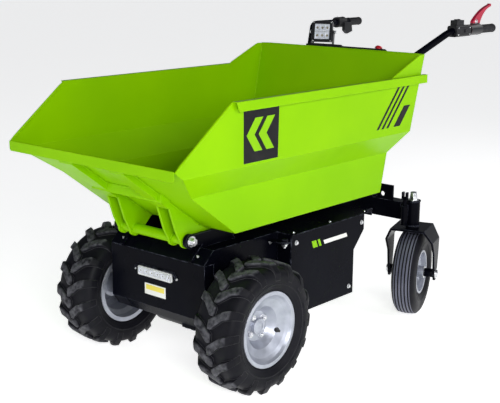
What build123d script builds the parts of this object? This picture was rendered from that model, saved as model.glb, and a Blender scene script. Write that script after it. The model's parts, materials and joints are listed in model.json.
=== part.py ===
from build123d import *
import math
import os

# Walk-behind electric site dumper: tipping skip, two driven front wheels, two casters.
# Millimetres. +X is the tipping end, +Y the machine's left, +Z up; the wheels stand on z = 0.
# Everything is laid out from the front axle (x = 0) and moved at the end, so that the
# origin lies under the middle of the machine.

# ---------------------------------------------------------------- driving dimensions
# skip
SHEET = 3.0                 # wall of the skip
SKIP_FLOOR_Z = 492.0        # underside of the floor
SKIP_FLOOR_HALF = 276.0     # half width of the floor and of the upright lower walls
FLARE_Z = 627.0             # where the walls turn outwards
SHOULDER_Z = 708.0          # where they turn upright again
SHOULDER_HALF = 353.0
RIM_Z = 896.5               # top of the long sides
RIM_HALF = 358.0
REAR_TOP_Z = 963.0          # top of the rear wall
FLOOR_FRONT_X = 47.0        # where the floor turns up into the spout
LIP_X = 371.0
LIP_Z = 729.0
LIP_HEM = 25.0              # downturned edge of the spout
PEAK_X = 150.5              # front end of the long sides' rim
REAR_FOOT_X = -704.5        # rear wall at the floor
REAR_LEAN = 0.243           # how far the rear wall leans back per unit of height
WING_X = -630.0             # where the sides start to rise to the rear corners
WING_FLAT = 22.0
RIM_OUT = 14.0              # folded rim: how far out and how deep
RIM_DEPTH = 28.0
RIM_TAIL = 20.0             # how far the rim runs past the rear wall
RIM_BEVEL = 12.0

# tipping pivot
PIVOT_X = 110.0
PIVOT_Z = 458.0
INNER_EAR_Y = 85.0
OUTER_EAR_Y = 134.0
EAR = 8.0
EAR_R = 24.0
EAR_NECK = (153.0, 493.0)   # where the ear's front edge turns in to its boss
EAR_TAIL_X = 36.0           # where an ear's rear edge meets the floor
PIN_R = 10.0
RUNNING = 0.05              # radial clearance of a shaft in its hole
CROSS_TUBE_R = 16.0
RIB_DEPTH = 20.0            # drop of the rib's face below the spout
RIB_TOP_X = 362.0
RIB_END_X = 180.0           # where the closed rib ends and the ears stand free
RIB_SHEET = 4.0
STIFFENER_X = 225.0         # cross stiffener under the spout
STIFFENER_DROP = 29.0
STIFFENER_HALF = 150.0
CHEEK_CLEAR = 5.0           # from the outer ear to the cheek
CHEEK_SEAT = 2.0            # raised seat round the pin
CHEEK = 12.0                # plate of the chassis that holds the pivot pin
CHEEK_R = 22.0
CHEEK_TOP_Z = 476.0
CHEEK_BACK_X = -90.0
CHEEK_PROUD = 8.0           # how far its edge stands off the sloping cover
PIN_START_Y = 61.0          # inner end of each pin
PIN_HEAD_R = 12.0
PIN_HEAD = 12.0
PIN_WASHER_R = 17.0
PIN_WASHER = 3.0

# chassis
RAIL_Y = 110.0
RAIL_W = 30.0
RAIL_LOW = 430.0
RAIL_HIGH = 480.0
RAIL_WALL = 3.0
RAIL_FRONT_X = 78.0
PANEL_X = 103.0             # face of the front panel
PANEL_HALF = 204.0
PANEL_LOW = 215.0
PANEL_HIGH = 388.0
PANEL_RETURN = 40.0
SKIRT = (26.0, 36.0)        # lower edge of the panel: how far it leans back, how far down
STEP_PLATE_Y = (84.0, 139.0)
STEP_PLATE = (16.0, 13.0)   # small bracket under the skirt: length and height
COVER_SLOPE = 40.0          # run of the sloping part behind the panel's top edge
COVER_SIDE_DEEP = 110.0     # depth of the cover's side walls below the panel's top edge
PLATE = 3.0                 # wall of the chassis covers
SIDE_Y = 260.0              # outer face of the side covers
BOX_FRONT_X = -238.0
BOX_REAR_X = -637.0
BOX_STEP_X = -580.0
BOX_STEP_LOW = 309.0
BOX_STEP_HIGH = 371.0
BOX_LOW = 157.0
LID_REAR = 35.0             # how far the lid runs past the box behind, and its turned edge
LID_TURN = 12.0
TOP_OVERHANG = 8.0
LID_TAB = (26.0, 6.0, 10.0) # upright tab at the lid's rear corner
BATTERY_X = (-560.0, -260.0)
BATTERY_HALF = 230.0
BATTERY_TOP = 400.0

# front wheels
WHEEL_R = 205.0
WHEEL_W = 158.0
WHEEL_Y = 308.0
RIM_SEAT_R = 103.0
RIM_FLANGE_R = 117.0
RIM_HALF_W = 60.0
RIM_LIP = 5.0               # rolled edge past the tyre's bead
RIM_DROP = 15.0             # depth of the drop centre
BOWL_WAIST = (37.0, 66.0)   # where the bowl bends, out from the middle and in radius
BOWL_FOOT_R = 51.0
BOWL_FLOOR_R = 46.0
SIDEWALL_SWELL = 9.0
CARCASS_R = 190.0
LUG_ROOT = 150.0            # radius that the lugs grow from
TYRE_FACETS = 32
CASTER_FACETS = 28
LUGS = 16                   # on each side, the right ones half a pitch behind the left
LUG_END_Y = 77.0
LUG_SHOULDER_Y = 58.0       # from here out a lug slopes down to the sidewall
LUG_END_R = 175.0
# a left lug's corners: y out from the middle of the tread, s back along it
LUG_OUTLINE = [(-5, -38), (-5, -12), (38, 20), (LUG_END_Y, 36), (LUG_END_Y, 9), (38, -6), (6, -38)]
AXLE_R = 15.0
AXLE_TUBE_R = 32.0
AXLE_FLANGE_R = 52.0
AXLE_FLANGE = 10.0
AXLE_GAP = 2.0              # from the chassis cover's side to the axle's flange
CASE_R = 65.0
CASE_HALF = 55.0
MOTOR_R = 58.0
MOTOR_X = (-60.0, -215.0)
MOTOR_RISE = 20.0
AXLE_SEAT_W = 40.0
AXLE_SEAT_HALF = 28.0
AXLE_SEAT_INSET = 14.0
HUB_R = 34.0
HUB_HALF = 40.0
HUB_CAP_R = 24.0
HUB_CAP_Y = 24.0            # outer face of the hub cap, from the middle of the tyre
HUB_CAP = 14.0              # how far it stands out of the bowl's floor
HUB_COVER = 5.0             # its thickness over the shaft's end
SHAFT_PLAY = 1.0

# casters
CASTER_X = -911.0
CASTER_ARM = 36.0           # from the beam's end to the swivel axis
TRAIL = 25.0
CASTER_TURN = 18.0          # parked heading of both casters, degrees from straight ahead
CASTER_R = 158.0
CASTER_W = 88.0
CASTER_SEAT_R = 72.0
CASTER_FLANGE_R = 80.0
CASTER_RIM_HALF = 32.0
CASTER_HUB_HALF = 46.0
CASTER_HUB_R = 22.0
CASTER_SPACER_R = 14.0
CASTER_LIP = 4.0
FORK_Z = 328.0              # underside of the fork's top plate
FORK_PLATE = 8.0
FORK_HALF = 88.0            # outer face of the legs
FORK_TOP_HALF = 62.0        # half width of the top plate between its bends
FORK_DROP = 49.0            # height of the sloping shoulder
FORK_FRONT = 73.0           # the top plate's reach ahead of the swivel axis and behind it
FORK_REAR = 64.0
LEG_TOP_HALF = 32.0         # half width of a leg at the shoulder and at the axle
LEG_END_HALF = 18.0
LEG_TAIL = 24.0             # how far a leg runs on below the axle
SWIVEL_R = 25.0
SWIVEL_LOW = 340.0
SWIVEL_HIGH = 426.0
CAP_R = 27.5
CAP = 5.0
NUT_R = 15.0
NUT = 15.0
STUD = 14.0
KINGPIN_R = 11.0
CASTER_AXLE_R = 8.0
AXLE_NUT_R = 14.0
AXLE_NUT = 7.0

# lock pins that hold the forks straight
GUIDE_AHEAD = 38.0          # from the swivel axis forward to a lock pin
GUIDE_R = 12.0
GUIDE_Z = (343.0, 413.0)
LOCK_PIN_R = 7.0
LOCK_PIN_Z = (342.0, 436.0)
LOCK_HEAD = (12.0, 22.0, 28.0)
LOCK_SLOT = 10.0

# rear beam and handlebar
BEAM_LOW = 357.0
BEAM_HIGH = 421.0
BEAM_DEEP = 50.0
BEAM_HALF = 248.0
BEAM_CAP = 6.0
ARM_HALF = 14.0
CASTER_Y = BEAM_HALF + CASTER_ARM
TUBE_R = 12.5
UPRIGHT_Y = RAIL_Y
UPRIGHT_STRAIGHT = 80.0     # upright stretch of the tubes above the rails
SHOULDER_BAR = (-925.0, 215.0, 915.0)
CROSSBAR_Z = 860.0
TUBE_BEND = 60.0
GRIP_Y = 307.0
GRIP_Z = 1025.0
BEND_X = -1070.0
GRIP_FRONT_X = {1: -1281.0, -1: -1301.0}    # by side: the right grip starts behind the throttle
GRIP_REAR_X = -1383.0
GRIP_R = 16.5
GRIP_END = 6.0
SWITCH_X = (-1186.0, -1084.0)
SWITCH_HALF = 20.0
SWITCH_TOP_X = (-1142.0, -1094.0)
SWITCH_TOP = 39.0           # top of the raised part above the tube's axis
PERCH_X = (-1276.0, -1196.0)
PERCH_R = 20.0
LEVER_THICK = 12.0
LEVER_FOOT_X = (-1272.0, -1222.0)
LEVER_FOOT_TOP = 30.0       # the foot's top, the bends and the tip, above the tube's axis
LEVER_BACK = (-1276.0, 66.0)
LEVER_BELLY = (-1298.0, 57.0)
LEVER_TIP = (-1349.0, 81.0)
LEVER_TIP_R = 7.0
THROTTLE_X = (-1290.0, -1219.0)
THROTTLE_R = 21.0
PADDLE = (46.0, 14.0, 32.0)

# control box and lamps
CONTROL_X = (-945.0, -855.0)
CONTROL_HALF = 176.0
CONTROL_TOP = 968.0         # front edge of the desk, which slopes down to the operator
CONTROL_SLOPE = 27.0
STOP_AT = (16.0, 137.0)     # down the desk from its front edge, and across
STOP_R = 15.0
STOP_HIGH = 14.0
LAMP = 76.0
LAMP_FRAME = 16.0
LAMP_BODY = 30.0
LAMP_FINS = 7
LAMP_RIM = 10.0             # width of the frame round the lens
LAMP_CORNER = 4.0
LAMP_RECESS = 5.0
LAMP_INSET = 8.0            # from the frame's edge in to the finned body
LAMP_KNOB_R = 6.0
LAMP_KNOB = 4.0
LAMP_BOSS_R = 9.0
LAMP_AT = (-868.0, -110.0, 1014.0)
LAMP_TURN = 22.0            # degrees from straight ahead
LAMP_TILT = 10.0
LAMP_FOOT_Y = (-170.0, -18.0)
STIRRUP = 3.0
STIRRUP_HALF = 12.0
STIRRUP_CLEAR = (1.0, 6.0)  # from the lamp's frame: at its sides and below it
FOOT_INSET = 4.0
LED_Y = (-77.0, 70.0)
LED_Z = (310.0, 338.5)
LED_DEEP = 6.0
LED_CORNER = 5.0
LEDS = 6
LED_R = 7.0
HOOD_Y = (-97.0, 90.0)      # thin lip arched over the light bar
HOOD_RISE = 12.0

# lock plates and rest pads
LATCH_Y = (144.0, 212.0)
LATCH_TOP = 477.0
LATCH_PLATE = 6.0
LATCH_HOLE = (167.0, 441.0)
LATCH_R = 9.0
REST_X = -600.0
REST_HALF = (25.0, 13.0)

BODY_GAP = 0.3              # seat between faces that move on each other


# ---------------------------------------------------------------- helpers
FAR = 3000.0


def prism(points, axis, low, high):
    """A flat outline carried along an axis; the points give the other two coordinates in order."""
    place = {
        "x": lambda a, b: (low, a, b),
        "y": lambda a, b: (a, low, b),
        "z": lambda a, b: (a, b, low),
    }[axis]
    way = {"x": (1, 0, 0), "y": (0, 1, 0), "z": (0, 0, 1)}[axis]
    face = Face(Wire.make_polygon([place(a, b) for a, b in points], close=True))
    return extrude(face, amount=high - low, dir=way)


def block(x, y, z):
    """A box between the lows and highs of each axis."""
    return Pos((x[0] + x[1]) / 2, (y[0] + y[1]) / 2, (z[0] + z[1]) / 2) * Box(
        x[1] - x[0], y[1] - y[0], z[1] - z[0]
    )


def bar(start, end, radius):
    """A round bar between two points."""
    way = Vector(*end) - Vector(*start)
    return Plane(origin=start, z_dir=way) * Cylinder(
        radius, way.length, align=(Align.CENTER, Align.CENTER, Align.MIN)
    )


def hex_bar(start, end, radius):
    """A six-sided bar between two points, as a nut or bolt head."""
    way = Vector(*end) - Vector(*start)
    return extrude(Plane(origin=start, z_dir=way) * RegularPolygon(radius, 6), amount=way.length)


def beside(points, distance):
    """The mitred line that runs a distance to the left of a line of points."""
    shifted = []
    for i, here in enumerate(points):
        ways = []
        for a, b in ((i - 1, i), (i, i + 1)):
            if 0 <= a and b < len(points):
                du, dv = points[b][0] - points[a][0], points[b][1] - points[a][1]
                length = math.hypot(du, dv)
                ways.append((-dv / length, du / length))
        nu = sum(w[0] for w in ways) / len(ways)
        nv = sum(w[1] for w in ways) / len(ways)
        scale = distance / (nu * nu + nv * nv)
        shifted.append((here[0] + nu * scale, here[1] + nv * scale))
    return shifted


def strip(points, thickness):
    """The outline of a bent sheet whose outer face follows the points."""
    return points + beside(points, thickness)[::-1]


def mirrored(shape):
    return mirror(shape, about=Plane.XZ)


def both_sides(shape):
    return Compound(children=[shape, mirrored(shape)])


def ring(outer, inner, y0, y1, x, z):
    """A tube along Y."""
    tube = bar((x, y0, z), (x, y1, z), outer)
    return tube - bar((x, y0 - 1, z), (x, y1 + 1, z), inner) if inner else tube


def hollow_bar(x, y, z, wall, axis):
    """A rectangular tube, open along an axis."""
    inner = [(a + wall, b - wall) for a, b in (x, y, z)]
    inner["xyz".index(axis)] = (x, y, z)["xyz".index(axis)]
    return block(x, y, z) - block(*inner)


# ---------------------------------------------------------------- skip
def rear_x(z):
    """The outer face of the rear wall at a height."""
    return REAR_FOOT_X - REAR_LEAN * (z - SKIP_FLOOR_Z)


REAR_STEP = SHEET * math.hypot(1, REAR_LEAN)
SPOUT_SLOPE = (LIP_Z - SKIP_FLOOR_Z) / (LIP_X - FLOOR_FRONT_X)
WALL_LEAN = (RIM_HALF - SHOULDER_HALF) / (RIM_Z - SHOULDER_Z)

# outer line of the left wall, from the floor up, as (y, z)
WALL_LINE = [
    (SKIP_FLOOR_HALF, SKIP_FLOOR_Z),
    (SKIP_FLOOR_HALF, FLARE_Z),
    (SHOULDER_HALF, SHOULDER_Z),
    (RIM_HALF, RIM_Z),
    (RIM_HALF + (REAR_TOP_Z - RIM_Z) * WALL_LEAN, REAR_TOP_Z),
]


def skip_inside():
    """Everything between the side walls, as a long prism."""
    left = beside(WALL_LINE, SHEET)
    left[0] = (left[0][0], SKIP_FLOOR_Z - SHEET)
    left.append((left[-1][0], FAR))
    return prism(left + [(-y, z) for y, z in left[::-1]], "x", -FAR, FAR)


def skip_side():
    """Left side: one bent sheet with the rim folded out along its top."""
    def inner_rear(z):
        return rear_x(z) + REAR_STEP

    wall = prism(strip(WALL_LINE, SHEET), "x", -FAR, FAR)
    outline = [
        (FLOOR_FRONT_X, SKIP_FLOOR_Z),
        (LIP_X, LIP_Z),
        (PEAK_X, RIM_Z),
        (WING_X, RIM_Z),
        (inner_rear(REAR_TOP_Z) + WING_FLAT, REAR_TOP_Z),
        (inner_rear(REAR_TOP_Z), REAR_TOP_Z),
        (inner_rear(SKIP_FLOOR_Z), SKIP_FLOOR_Z),
    ]
    sheet = wall & prism(outline, "y", 0, FAR)
    rim_line = [
        (RIM_HALF - SHEET / 2, RIM_Z),
        (RIM_HALF + RIM_OUT, RIM_Z),
        (RIM_HALF + RIM_OUT, RIM_Z - RIM_DEPTH),
    ]
    rim = prism(rim_line + beside(rim_line, -SHEET)[::-1], "x", rear_x(RIM_Z) - RIM_TAIL, PEAK_X)
    bevel = [
        (PEAK_X, RIM_Z),
        (PEAK_X, RIM_Z - RIM_DEPTH),
        (PEAK_X - RIM_BEVEL, RIM_Z - RIM_DEPTH),
    ]
    rim -= prism(bevel, "y", 0, FAR)
    return sheet + rim


def skip_floor():
    """Floor and spout: one sheet, bent up at the front and hemmed at the lip."""
    line = [
        (rear_x(SKIP_FLOOR_Z) + REAR_STEP, SKIP_FLOOR_Z),
        (FLOOR_FRONT_X, SKIP_FLOOR_Z),
        (LIP_X, LIP_Z),
        (LIP_X, LIP_Z - LIP_HEM),
    ]
    return prism(strip(line, SHEET), "y", -FAR, FAR) & skip_inside()


def skip_rear_wall():
    """Rear wall: one leaning sheet, as wide as the sides are apart outside."""
    slab = [
        (rear_x(SKIP_FLOOR_Z), SKIP_FLOOR_Z),
        (rear_x(REAR_TOP_Z), REAR_TOP_Z),
        (rear_x(REAR_TOP_Z) + REAR_STEP, REAR_TOP_Z),
        (rear_x(SKIP_FLOOR_Z) + REAR_STEP, SKIP_FLOOR_Z),
    ]
    section = WALL_LINE + [(-y, z) for y, z in WALL_LINE[::-1]]
    wall = prism(slab, "y", -FAR, FAR) & prism(section, "x", -FAR, FAR)
    notch = block(
        (-FAR, 0), (RIM_HALF - SHEET, RIM_HALF + RIM_OUT), (RIM_Z - SHEET, RIM_Z)
    )
    return wall - both_sides(notch)


def spout_z(x):
    """Underside of the spout."""
    return SKIP_FLOOR_Z + SPOUT_SLOPE * (x - FLOOR_FRONT_X)


def rib_line():
    """The face of a rib below the spout, from its closed top end down to the ears."""
    start = RIB_TOP_X - RIB_DEPTH / 2
    return [
        (RIB_TOP_X, spout_z(RIB_TOP_X)),
        (start, spout_z(start) - RIB_DEPTH),
        (RIB_END_X, spout_z(RIB_END_X) - RIB_DEPTH),
    ]


def ear_plate(y):
    """One web of a spout rib, drawn down into a rounded pivot ear."""
    outline = rib_line() + [
        EAR_NECK,
        (PIVOT_X + EAR_R, PIVOT_Z),
        (PIVOT_X - EAR_R * 0.7, PIVOT_Z - EAR_R * 0.7),
        (EAR_TAIL_X, SKIP_FLOOR_Z),
        (FLOOR_FRONT_X, SKIP_FLOOR_Z),
    ]
    web = prism(outline, "y", y - EAR / 2, y + EAR / 2)
    return web + ring(EAR_R, 0, y - EAR / 2, y + EAR / 2, PIVOT_X, PIVOT_Z)


def skip_ribs():
    """Two hollow ribs under the spout with their pivot ears, the stiffener and tube across."""
    inner, outer = INNER_EAR_Y - EAR / 2, OUTER_EAR_Y + EAR / 2
    face = prism(strip(rib_line(), RIB_SHEET), "y", inner, outer)
    rib = face + ear_plate(INNER_EAR_Y) + ear_plate(OUTER_EAR_Y)
    low = spout_z(STIFFENER_X) - STIFFENER_DROP
    foot = FLOOR_FRONT_X + (low - SKIP_FLOOR_Z) / SPOUT_SLOPE
    across = prism(
        [(STIFFENER_X, spout_z(STIFFENER_X)), (STIFFENER_X, low), (foot, low)],
        "y", -STIFFENER_HALF, STIFFENER_HALF,
    )
    tube = ring(CROSS_TUBE_R, 0, -OUTER_EAR_Y, OUTER_EAR_Y, PIVOT_X, PIVOT_Z)
    ribs = rib + mirrored(rib) + across + tube
    return ribs - bar((PIVOT_X, -FAR, PIVOT_Z), (PIVOT_X, FAR, PIVOT_Z), PIN_R + RUNNING)


# ---------------------------------------------------------------- chassis
BEAM_X = (CASTER_X - BEAM_DEEP / 2, CASTER_X + BEAM_DEEP / 2)
LID_LOW = RAIL_LOW - PLATE
LOCK_Y = CASTER_Y - GUIDE_R

# inner line of the front cover, from the panel's top edge back to the battery box, as (x, z)
COVER_LINE = [
    (PANEL_X, PANEL_HIGH), (PANEL_X - COVER_SLOPE, LID_LOW), (BOX_FRONT_X, LID_LOW)
]
CHEEK_Y = OUTER_EAR_Y + EAR / 2 + CHEEK_CLEAR
CHEEK_FACE_Y = CHEEK_Y + CHEEK + CHEEK_SEAT


def rails():
    """Two long tubes under the skip, from the pivots back over the rear beam."""
    rail = hollow_bar(
        (BEAM_X[0], RAIL_FRONT_X),
        (RAIL_Y - RAIL_W / 2, RAIL_Y + RAIL_W / 2),
        (RAIL_LOW, RAIL_HIGH),
        RAIL_WALL,
        "x",
    )
    return rail


def pivot_cheek():
    """Left upright plate that holds the pivot pin, its foot bent to the cover it stands on."""
    foot = beside(COVER_LINE, -PLATE)
    edge = beside(COVER_LINE, -PLATE - CHEEK_PROUD)
    outline = [
        foot[0], edge[0], (edge[1][0] - CHEEK_PROUD, PIVOT_Z - CHEEK_R * 0.8),
        (PIVOT_X - CHEEK_R * 0.6, PIVOT_Z - CHEEK_R * 0.8),
        (PIVOT_X, PIVOT_Z + CHEEK_R * 0.5),
        (PIVOT_X - CHEEK_R, CHEEK_TOP_Z),
        (CHEEK_BACK_X / 2, CHEEK_TOP_Z),
        (CHEEK_BACK_X, RAIL_LOW),
        foot[1],
    ]
    plate = prism(outline, "y", CHEEK_Y, CHEEK_Y + CHEEK)
    plate += ring(CHEEK_R, 0, CHEEK_Y, CHEEK_FACE_Y, PIVOT_X, PIVOT_Z)
    return plate - bar((PIVOT_X, 0, PIVOT_Z), (PIVOT_X, FAR, PIVOT_Z), PIN_R)


def pivot_pin():
    """Left tipping pin with its washer and hexagon head outside the cheek."""
    washer = CHEEK_FACE_Y + PIN_WASHER
    pin = bar((PIVOT_X, PIN_START_Y, PIVOT_Z), (PIVOT_X, washer, PIVOT_Z), PIN_R)
    pin += bar((PIVOT_X, CHEEK_FACE_Y, PIVOT_Z), (PIVOT_X, washer, PIVOT_Z), PIN_WASHER_R)
    return pin + hex_bar(
        (PIVOT_X, washer, PIVOT_Z), (PIVOT_X, washer + PIN_HEAD, PIVOT_Z), PIN_HEAD_R
    )


def front_panel():
    """Front plate between the wheels, sides bent back, with its skirt, step and lamp hood."""
    line = [
        (PANEL_X - PANEL_RETURN, -PANEL_HALF),
        (PANEL_X, -PANEL_HALF),
        (PANEL_X, PANEL_HALF),
        (PANEL_X - PANEL_RETURN, PANEL_HALF),
    ]
    panel = prism(strip(line, PLATE), "z", PANEL_LOW, PANEL_HIGH)
    skirt_line = [
        (PANEL_X, PANEL_LOW + PLATE), (PANEL_X, PANEL_LOW),
        (PANEL_X - SKIRT[0], PANEL_LOW - SKIRT[1]),
    ]
    panel += prism(strip(skirt_line, -PLATE), "y", -PANEL_HALF, PANEL_HALF)
    step_x = PANEL_X - SKIRT[0]
    panel += block(
        (step_x - STEP_PLATE[0], step_x),
        STEP_PLATE_Y,
        (PANEL_LOW - SKIRT[1] - STEP_PLATE[1], PANEL_LOW - SKIRT[1] + PLATE),
    )
    left, right = HOOD_Y
    ends, crown = LED_Z[1] - HOOD_RISE, LED_Z[1] + HOOD_RISE / 2
    hood_line = [
        (left, ends), (left + HOOD_RISE, crown), (right - HOOD_RISE, crown), (right, ends)
    ]
    return panel + prism(strip(hood_line, -PLATE), "x", PANEL_X, PANEL_X + LED_DEEP)


def front_cover():
    """Sloping cover from the front panel's top edge back to the rails."""
    low = PANEL_HALF - PLATE
    top = prism(COVER_LINE + beside(COVER_LINE, -PLATE)[::-1], "y", -PANEL_HALF, PANEL_HALF)
    notch_x, notch_z = PANEL_X - PANEL_RETURN, PANEL_HIGH - COVER_SIDE_DEEP
    side = prism(
        COVER_LINE + [(BOX_FRONT_X, notch_z), (notch_x, notch_z), (notch_x, PANEL_HIGH)],
        "y", low, PANEL_HALF,
    )
    return top + side + mirrored(side)


def side_cover():
    """Left side cover: a stepped flat plate."""
    outline = [
        (BOX_FRONT_X, BOX_LOW),
        (BOX_FRONT_X, LID_LOW),
        (BOX_REAR_X, LID_LOW),
        (BOX_REAR_X, BOX_STEP_HIGH),
        (BOX_STEP_X, BOX_STEP_LOW),
        (BOX_STEP_X, BOX_LOW),
    ]
    return prism(outline, "y", SIDE_Y - PLATE, SIDE_Y)


def box_shell():
    """Tray under the battery with its front and rear walls, between the side covers."""
    line = [
        (BOX_REAR_X, LID_LOW),
        (BOX_REAR_X, BOX_STEP_HIGH),
        (BOX_STEP_X, BOX_STEP_LOW),
        (BOX_STEP_X, BOX_LOW),
        (BOX_FRONT_X, BOX_LOW),
        (BOX_FRONT_X, LID_LOW),
    ]
    return prism(strip(line, PLATE), "y", -SIDE_Y + PLATE, SIDE_Y - PLATE)


def top_cover():
    """Lid of the battery box, a little wider than the box, with a tab at each rear corner."""
    length, width, height = LID_TAB
    edge = SIDE_Y + TOP_OVERHANG
    rear = BOX_REAR_X - LID_REAR
    lid = block((rear, BOX_FRONT_X), (-edge, edge), (LID_LOW, RAIL_LOW))
    lid += block((rear, rear + PLATE), (-edge, edge), (LID_LOW - LID_TURN, LID_LOW))
    tab = block(
        (rear, rear + length), (edge - width, edge), (RAIL_LOW, RAIL_LOW + height)
    )
    return lid + tab + mirrored(tab)


def battery():
    """Battery pack on the tray."""
    return block(BATTERY_X, (-BATTERY_HALF, BATTERY_HALF), (BOX_LOW + PLATE, BATTERY_TOP))


SHAFT_END_Y = WHEEL_Y + HUB_CAP_Y - HUB_COVER - SHAFT_PLAY


def drive_axle():
    """Driven front axle: cross tube with the gear case and the motor behind it."""
    flange_y = PANEL_HALF + AXLE_GAP
    seat_y = PANEL_HALF - AXLE_SEAT_INSET
    motor_z = WHEEL_R + MOTOR_RISE
    axle = ring(AXLE_TUBE_R, 0, -flange_y, flange_y, 0, WHEEL_R)
    axle += ring(CASE_R, 0, -CASE_HALF, CASE_HALF, 0, WHEEL_R)
    axle += bar((MOTOR_X[0], 0, motor_z), (MOTOR_X[1], 0, motor_z), MOTOR_R)
    end = ring(AXLE_FLANGE_R, 0, flange_y, flange_y + AXLE_FLANGE, 0, WHEEL_R)
    end += ring(AXLE_R, 0, flange_y, SHAFT_END_Y, 0, WHEEL_R)
    end += block(
        (-AXLE_SEAT_HALF, AXLE_SEAT_HALF), (seat_y - AXLE_SEAT_W, seat_y), (WHEEL_R, LID_LOW)
    )
    return axle + end + mirrored(end)


def rear_beam():
    """Beam across the rear with a swivel tube and a lock pin's guide tube at each end."""
    beam = hollow_bar(BEAM_X, (-BEAM_HALF, BEAM_HALF), (BEAM_LOW, BEAM_HIGH), RAIL_WALL, "y")
    guide_x = CASTER_X + GUIDE_AHEAD
    end = block(BEAM_X, (BEAM_HALF - BEAM_CAP, BEAM_HALF), (BEAM_LOW, BEAM_HIGH))
    end += block(
        (CASTER_X - ARM_HALF, CASTER_X + ARM_HALF),
        (BEAM_HALF, CASTER_Y),
        (BEAM_LOW, BEAM_HIGH - BEAM_CAP),
    )
    end += block(
        (CASTER_X, guide_x),
        (LOCK_Y - GUIDE_R / 2, LOCK_Y + GUIDE_R / 2),
        (BEAM_LOW, BEAM_HIGH - BEAM_CAP),
    )
    end += bar((CASTER_X, CASTER_Y, SWIVEL_LOW), (CASTER_X, CASTER_Y, SWIVEL_HIGH), SWIVEL_R)
    end += bar((guide_x, LOCK_Y, GUIDE_Z[0]), (guide_x, LOCK_Y, GUIDE_Z[1]), GUIDE_R)
    end += block(
        BEAM_X, (RAIL_Y - RAIL_W / 2, RAIL_Y + RAIL_W / 2), (BEAM_HIGH, RAIL_LOW)
    )
    end -= bar((CASTER_X, CASTER_Y, 0), (CASTER_X, CASTER_Y, FAR), KINGPIN_R + RUNNING)
    end -= bar((guide_x, LOCK_Y, 0), (guide_x, LOCK_Y, FAR), LOCK_PIN_R)
    return beam + end + mirrored(end)


def lock_pin():
    """Left lock pin, drawn up clear of the fork, with its slotted pull head."""
    x = CASTER_X + GUIDE_AHEAD
    long, wide, high = LOCK_HEAD
    low, top = LOCK_PIN_Z
    pin = bar((x, LOCK_Y, low), (x, LOCK_Y, top), LOCK_PIN_R)
    head = block(
        (x - long / 2, x + long / 2), (LOCK_Y - wide / 2, LOCK_Y + wide / 2), (top, top + high)
    )
    slot = block(
        (x - long, x + long),
        (LOCK_Y - LOCK_SLOT / 2, LOCK_Y + LOCK_SLOT / 2),
        (top + LOCK_SLOT, top + high + 1),
    )
    return pin + head - slot


def latch_brackets():
    """Upright lock plates on the rear beam, each with a through hole."""
    y, z = LATCH_HOLE
    plate = block((BEAM_X[1] - LATCH_PLATE, BEAM_X[1]), LATCH_Y, (BEAM_HIGH, LATCH_TOP))
    return both_sides(plate - bar((BEAM_X[0], y, z), (BEAM_X[1] + LATCH_PLATE, y, z), LATCH_R))


def rest_pads():
    """Rubber pads on the rails that the skip's floor rests on."""
    long, wide = REST_HALF
    pad = block(
        (REST_X - long, REST_X + long),
        (RAIL_Y - wide, RAIL_Y + wide),
        (RAIL_HIGH, SKIP_FLOOR_Z - BODY_GAP),
    )
    return both_sides(pad)


# ---------------------------------------------------------------- wheels
def turned(profile):
    """A closed outline of (y, r) points turned about Y."""
    return revolve(Face(Wire.make_polygon([(0, y, r) for y, r in profile], close=True)), Axis.Y)


def faceted(profile, facets):
    """The same outline carried round in flat facets; r is the corners' radius."""
    def corner(k, i):
        y, r = profile[k % len(profile)]
        angle = math.tau * i / facets
        return (r * math.sin(angle), y, r * math.cos(angle))

    faces = [
        Face(Wire.make_polygon(
            [corner(k, i), corner(k + 1, i), corner(k + 1, i + 1), corner(k, i + 1)], close=True
        ))
        for i in range(facets) for k in range(len(profile))
    ]
    return Solid(Shell(faces))


def two_sided(half_profile):
    """A profile from its right half, listed from the bead out to the crown."""
    return half_profile + [(-y, r) for y, r in half_profile[::-1]]


LUG_REACH = max(abs(s) for _, s in LUG_OUTLINE)
LUG_TOP = math.sqrt(WHEEL_R ** 2 - LUG_REACH ** 2)   # flat top whose corners touch the ground


def lug(side):
    """One tread bar at the top of the tyre, its outer end sloped down to the sidewall."""
    foot = [(-s, side * y, LUG_ROOT) for y, s in LUG_OUTLINE]
    body = extrude(
        Face(Wire.make_polygon(foot, close=True)), amount=LUG_TOP - LUG_ROOT, dir=(0, 0, 1)
    )
    slope = (LUG_TOP - LUG_END_R) / (LUG_END_Y - LUG_SHOULDER_Y)
    past = LUG_END_Y + 2
    wedge = [
        (side * LUG_SHOULDER_Y, LUG_TOP), (side * LUG_SHOULDER_Y, WHEEL_R),
        (side * past, WHEEL_R), (side * past, LUG_TOP - slope * (past - LUG_SHOULDER_Y)),
    ]
    return body - prism(wedge, "x", -2 * LUG_REACH, 2 * LUG_REACH)


def lugged_tyre():
    """Front tyre: faceted carcass with two rows of tread bars set as a chevron."""
    half, bead = WHEEL_W / 2, RIM_HALF_W - 0.2
    seat = RIM_SEAT_R / math.cos(math.pi / TYRE_FACETS)
    carcass = faceted(two_sided([
        (bead, seat), (bead, RIM_FLANGE_R + 1), (half * 0.93, RIM_FLANGE_R + SIDEWALL_SWELL),
        (half, LUG_ROOT), (half * 0.96, CARCASS_R * 0.9), (half * 0.74, CARCASS_R),
    ]), TYRE_FACETS)
    pitch = 360 / LUGS
    bars = [
        Rot(0, (i + (0.5 if side < 0 else 0)) * pitch, 0) * tread_bar
        for side, tread_bar in ((1, lug(1)), (-1, lug(-1)))
        for i in range(LUGS)
    ]
    return carcass.fuse(*bars)


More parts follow.
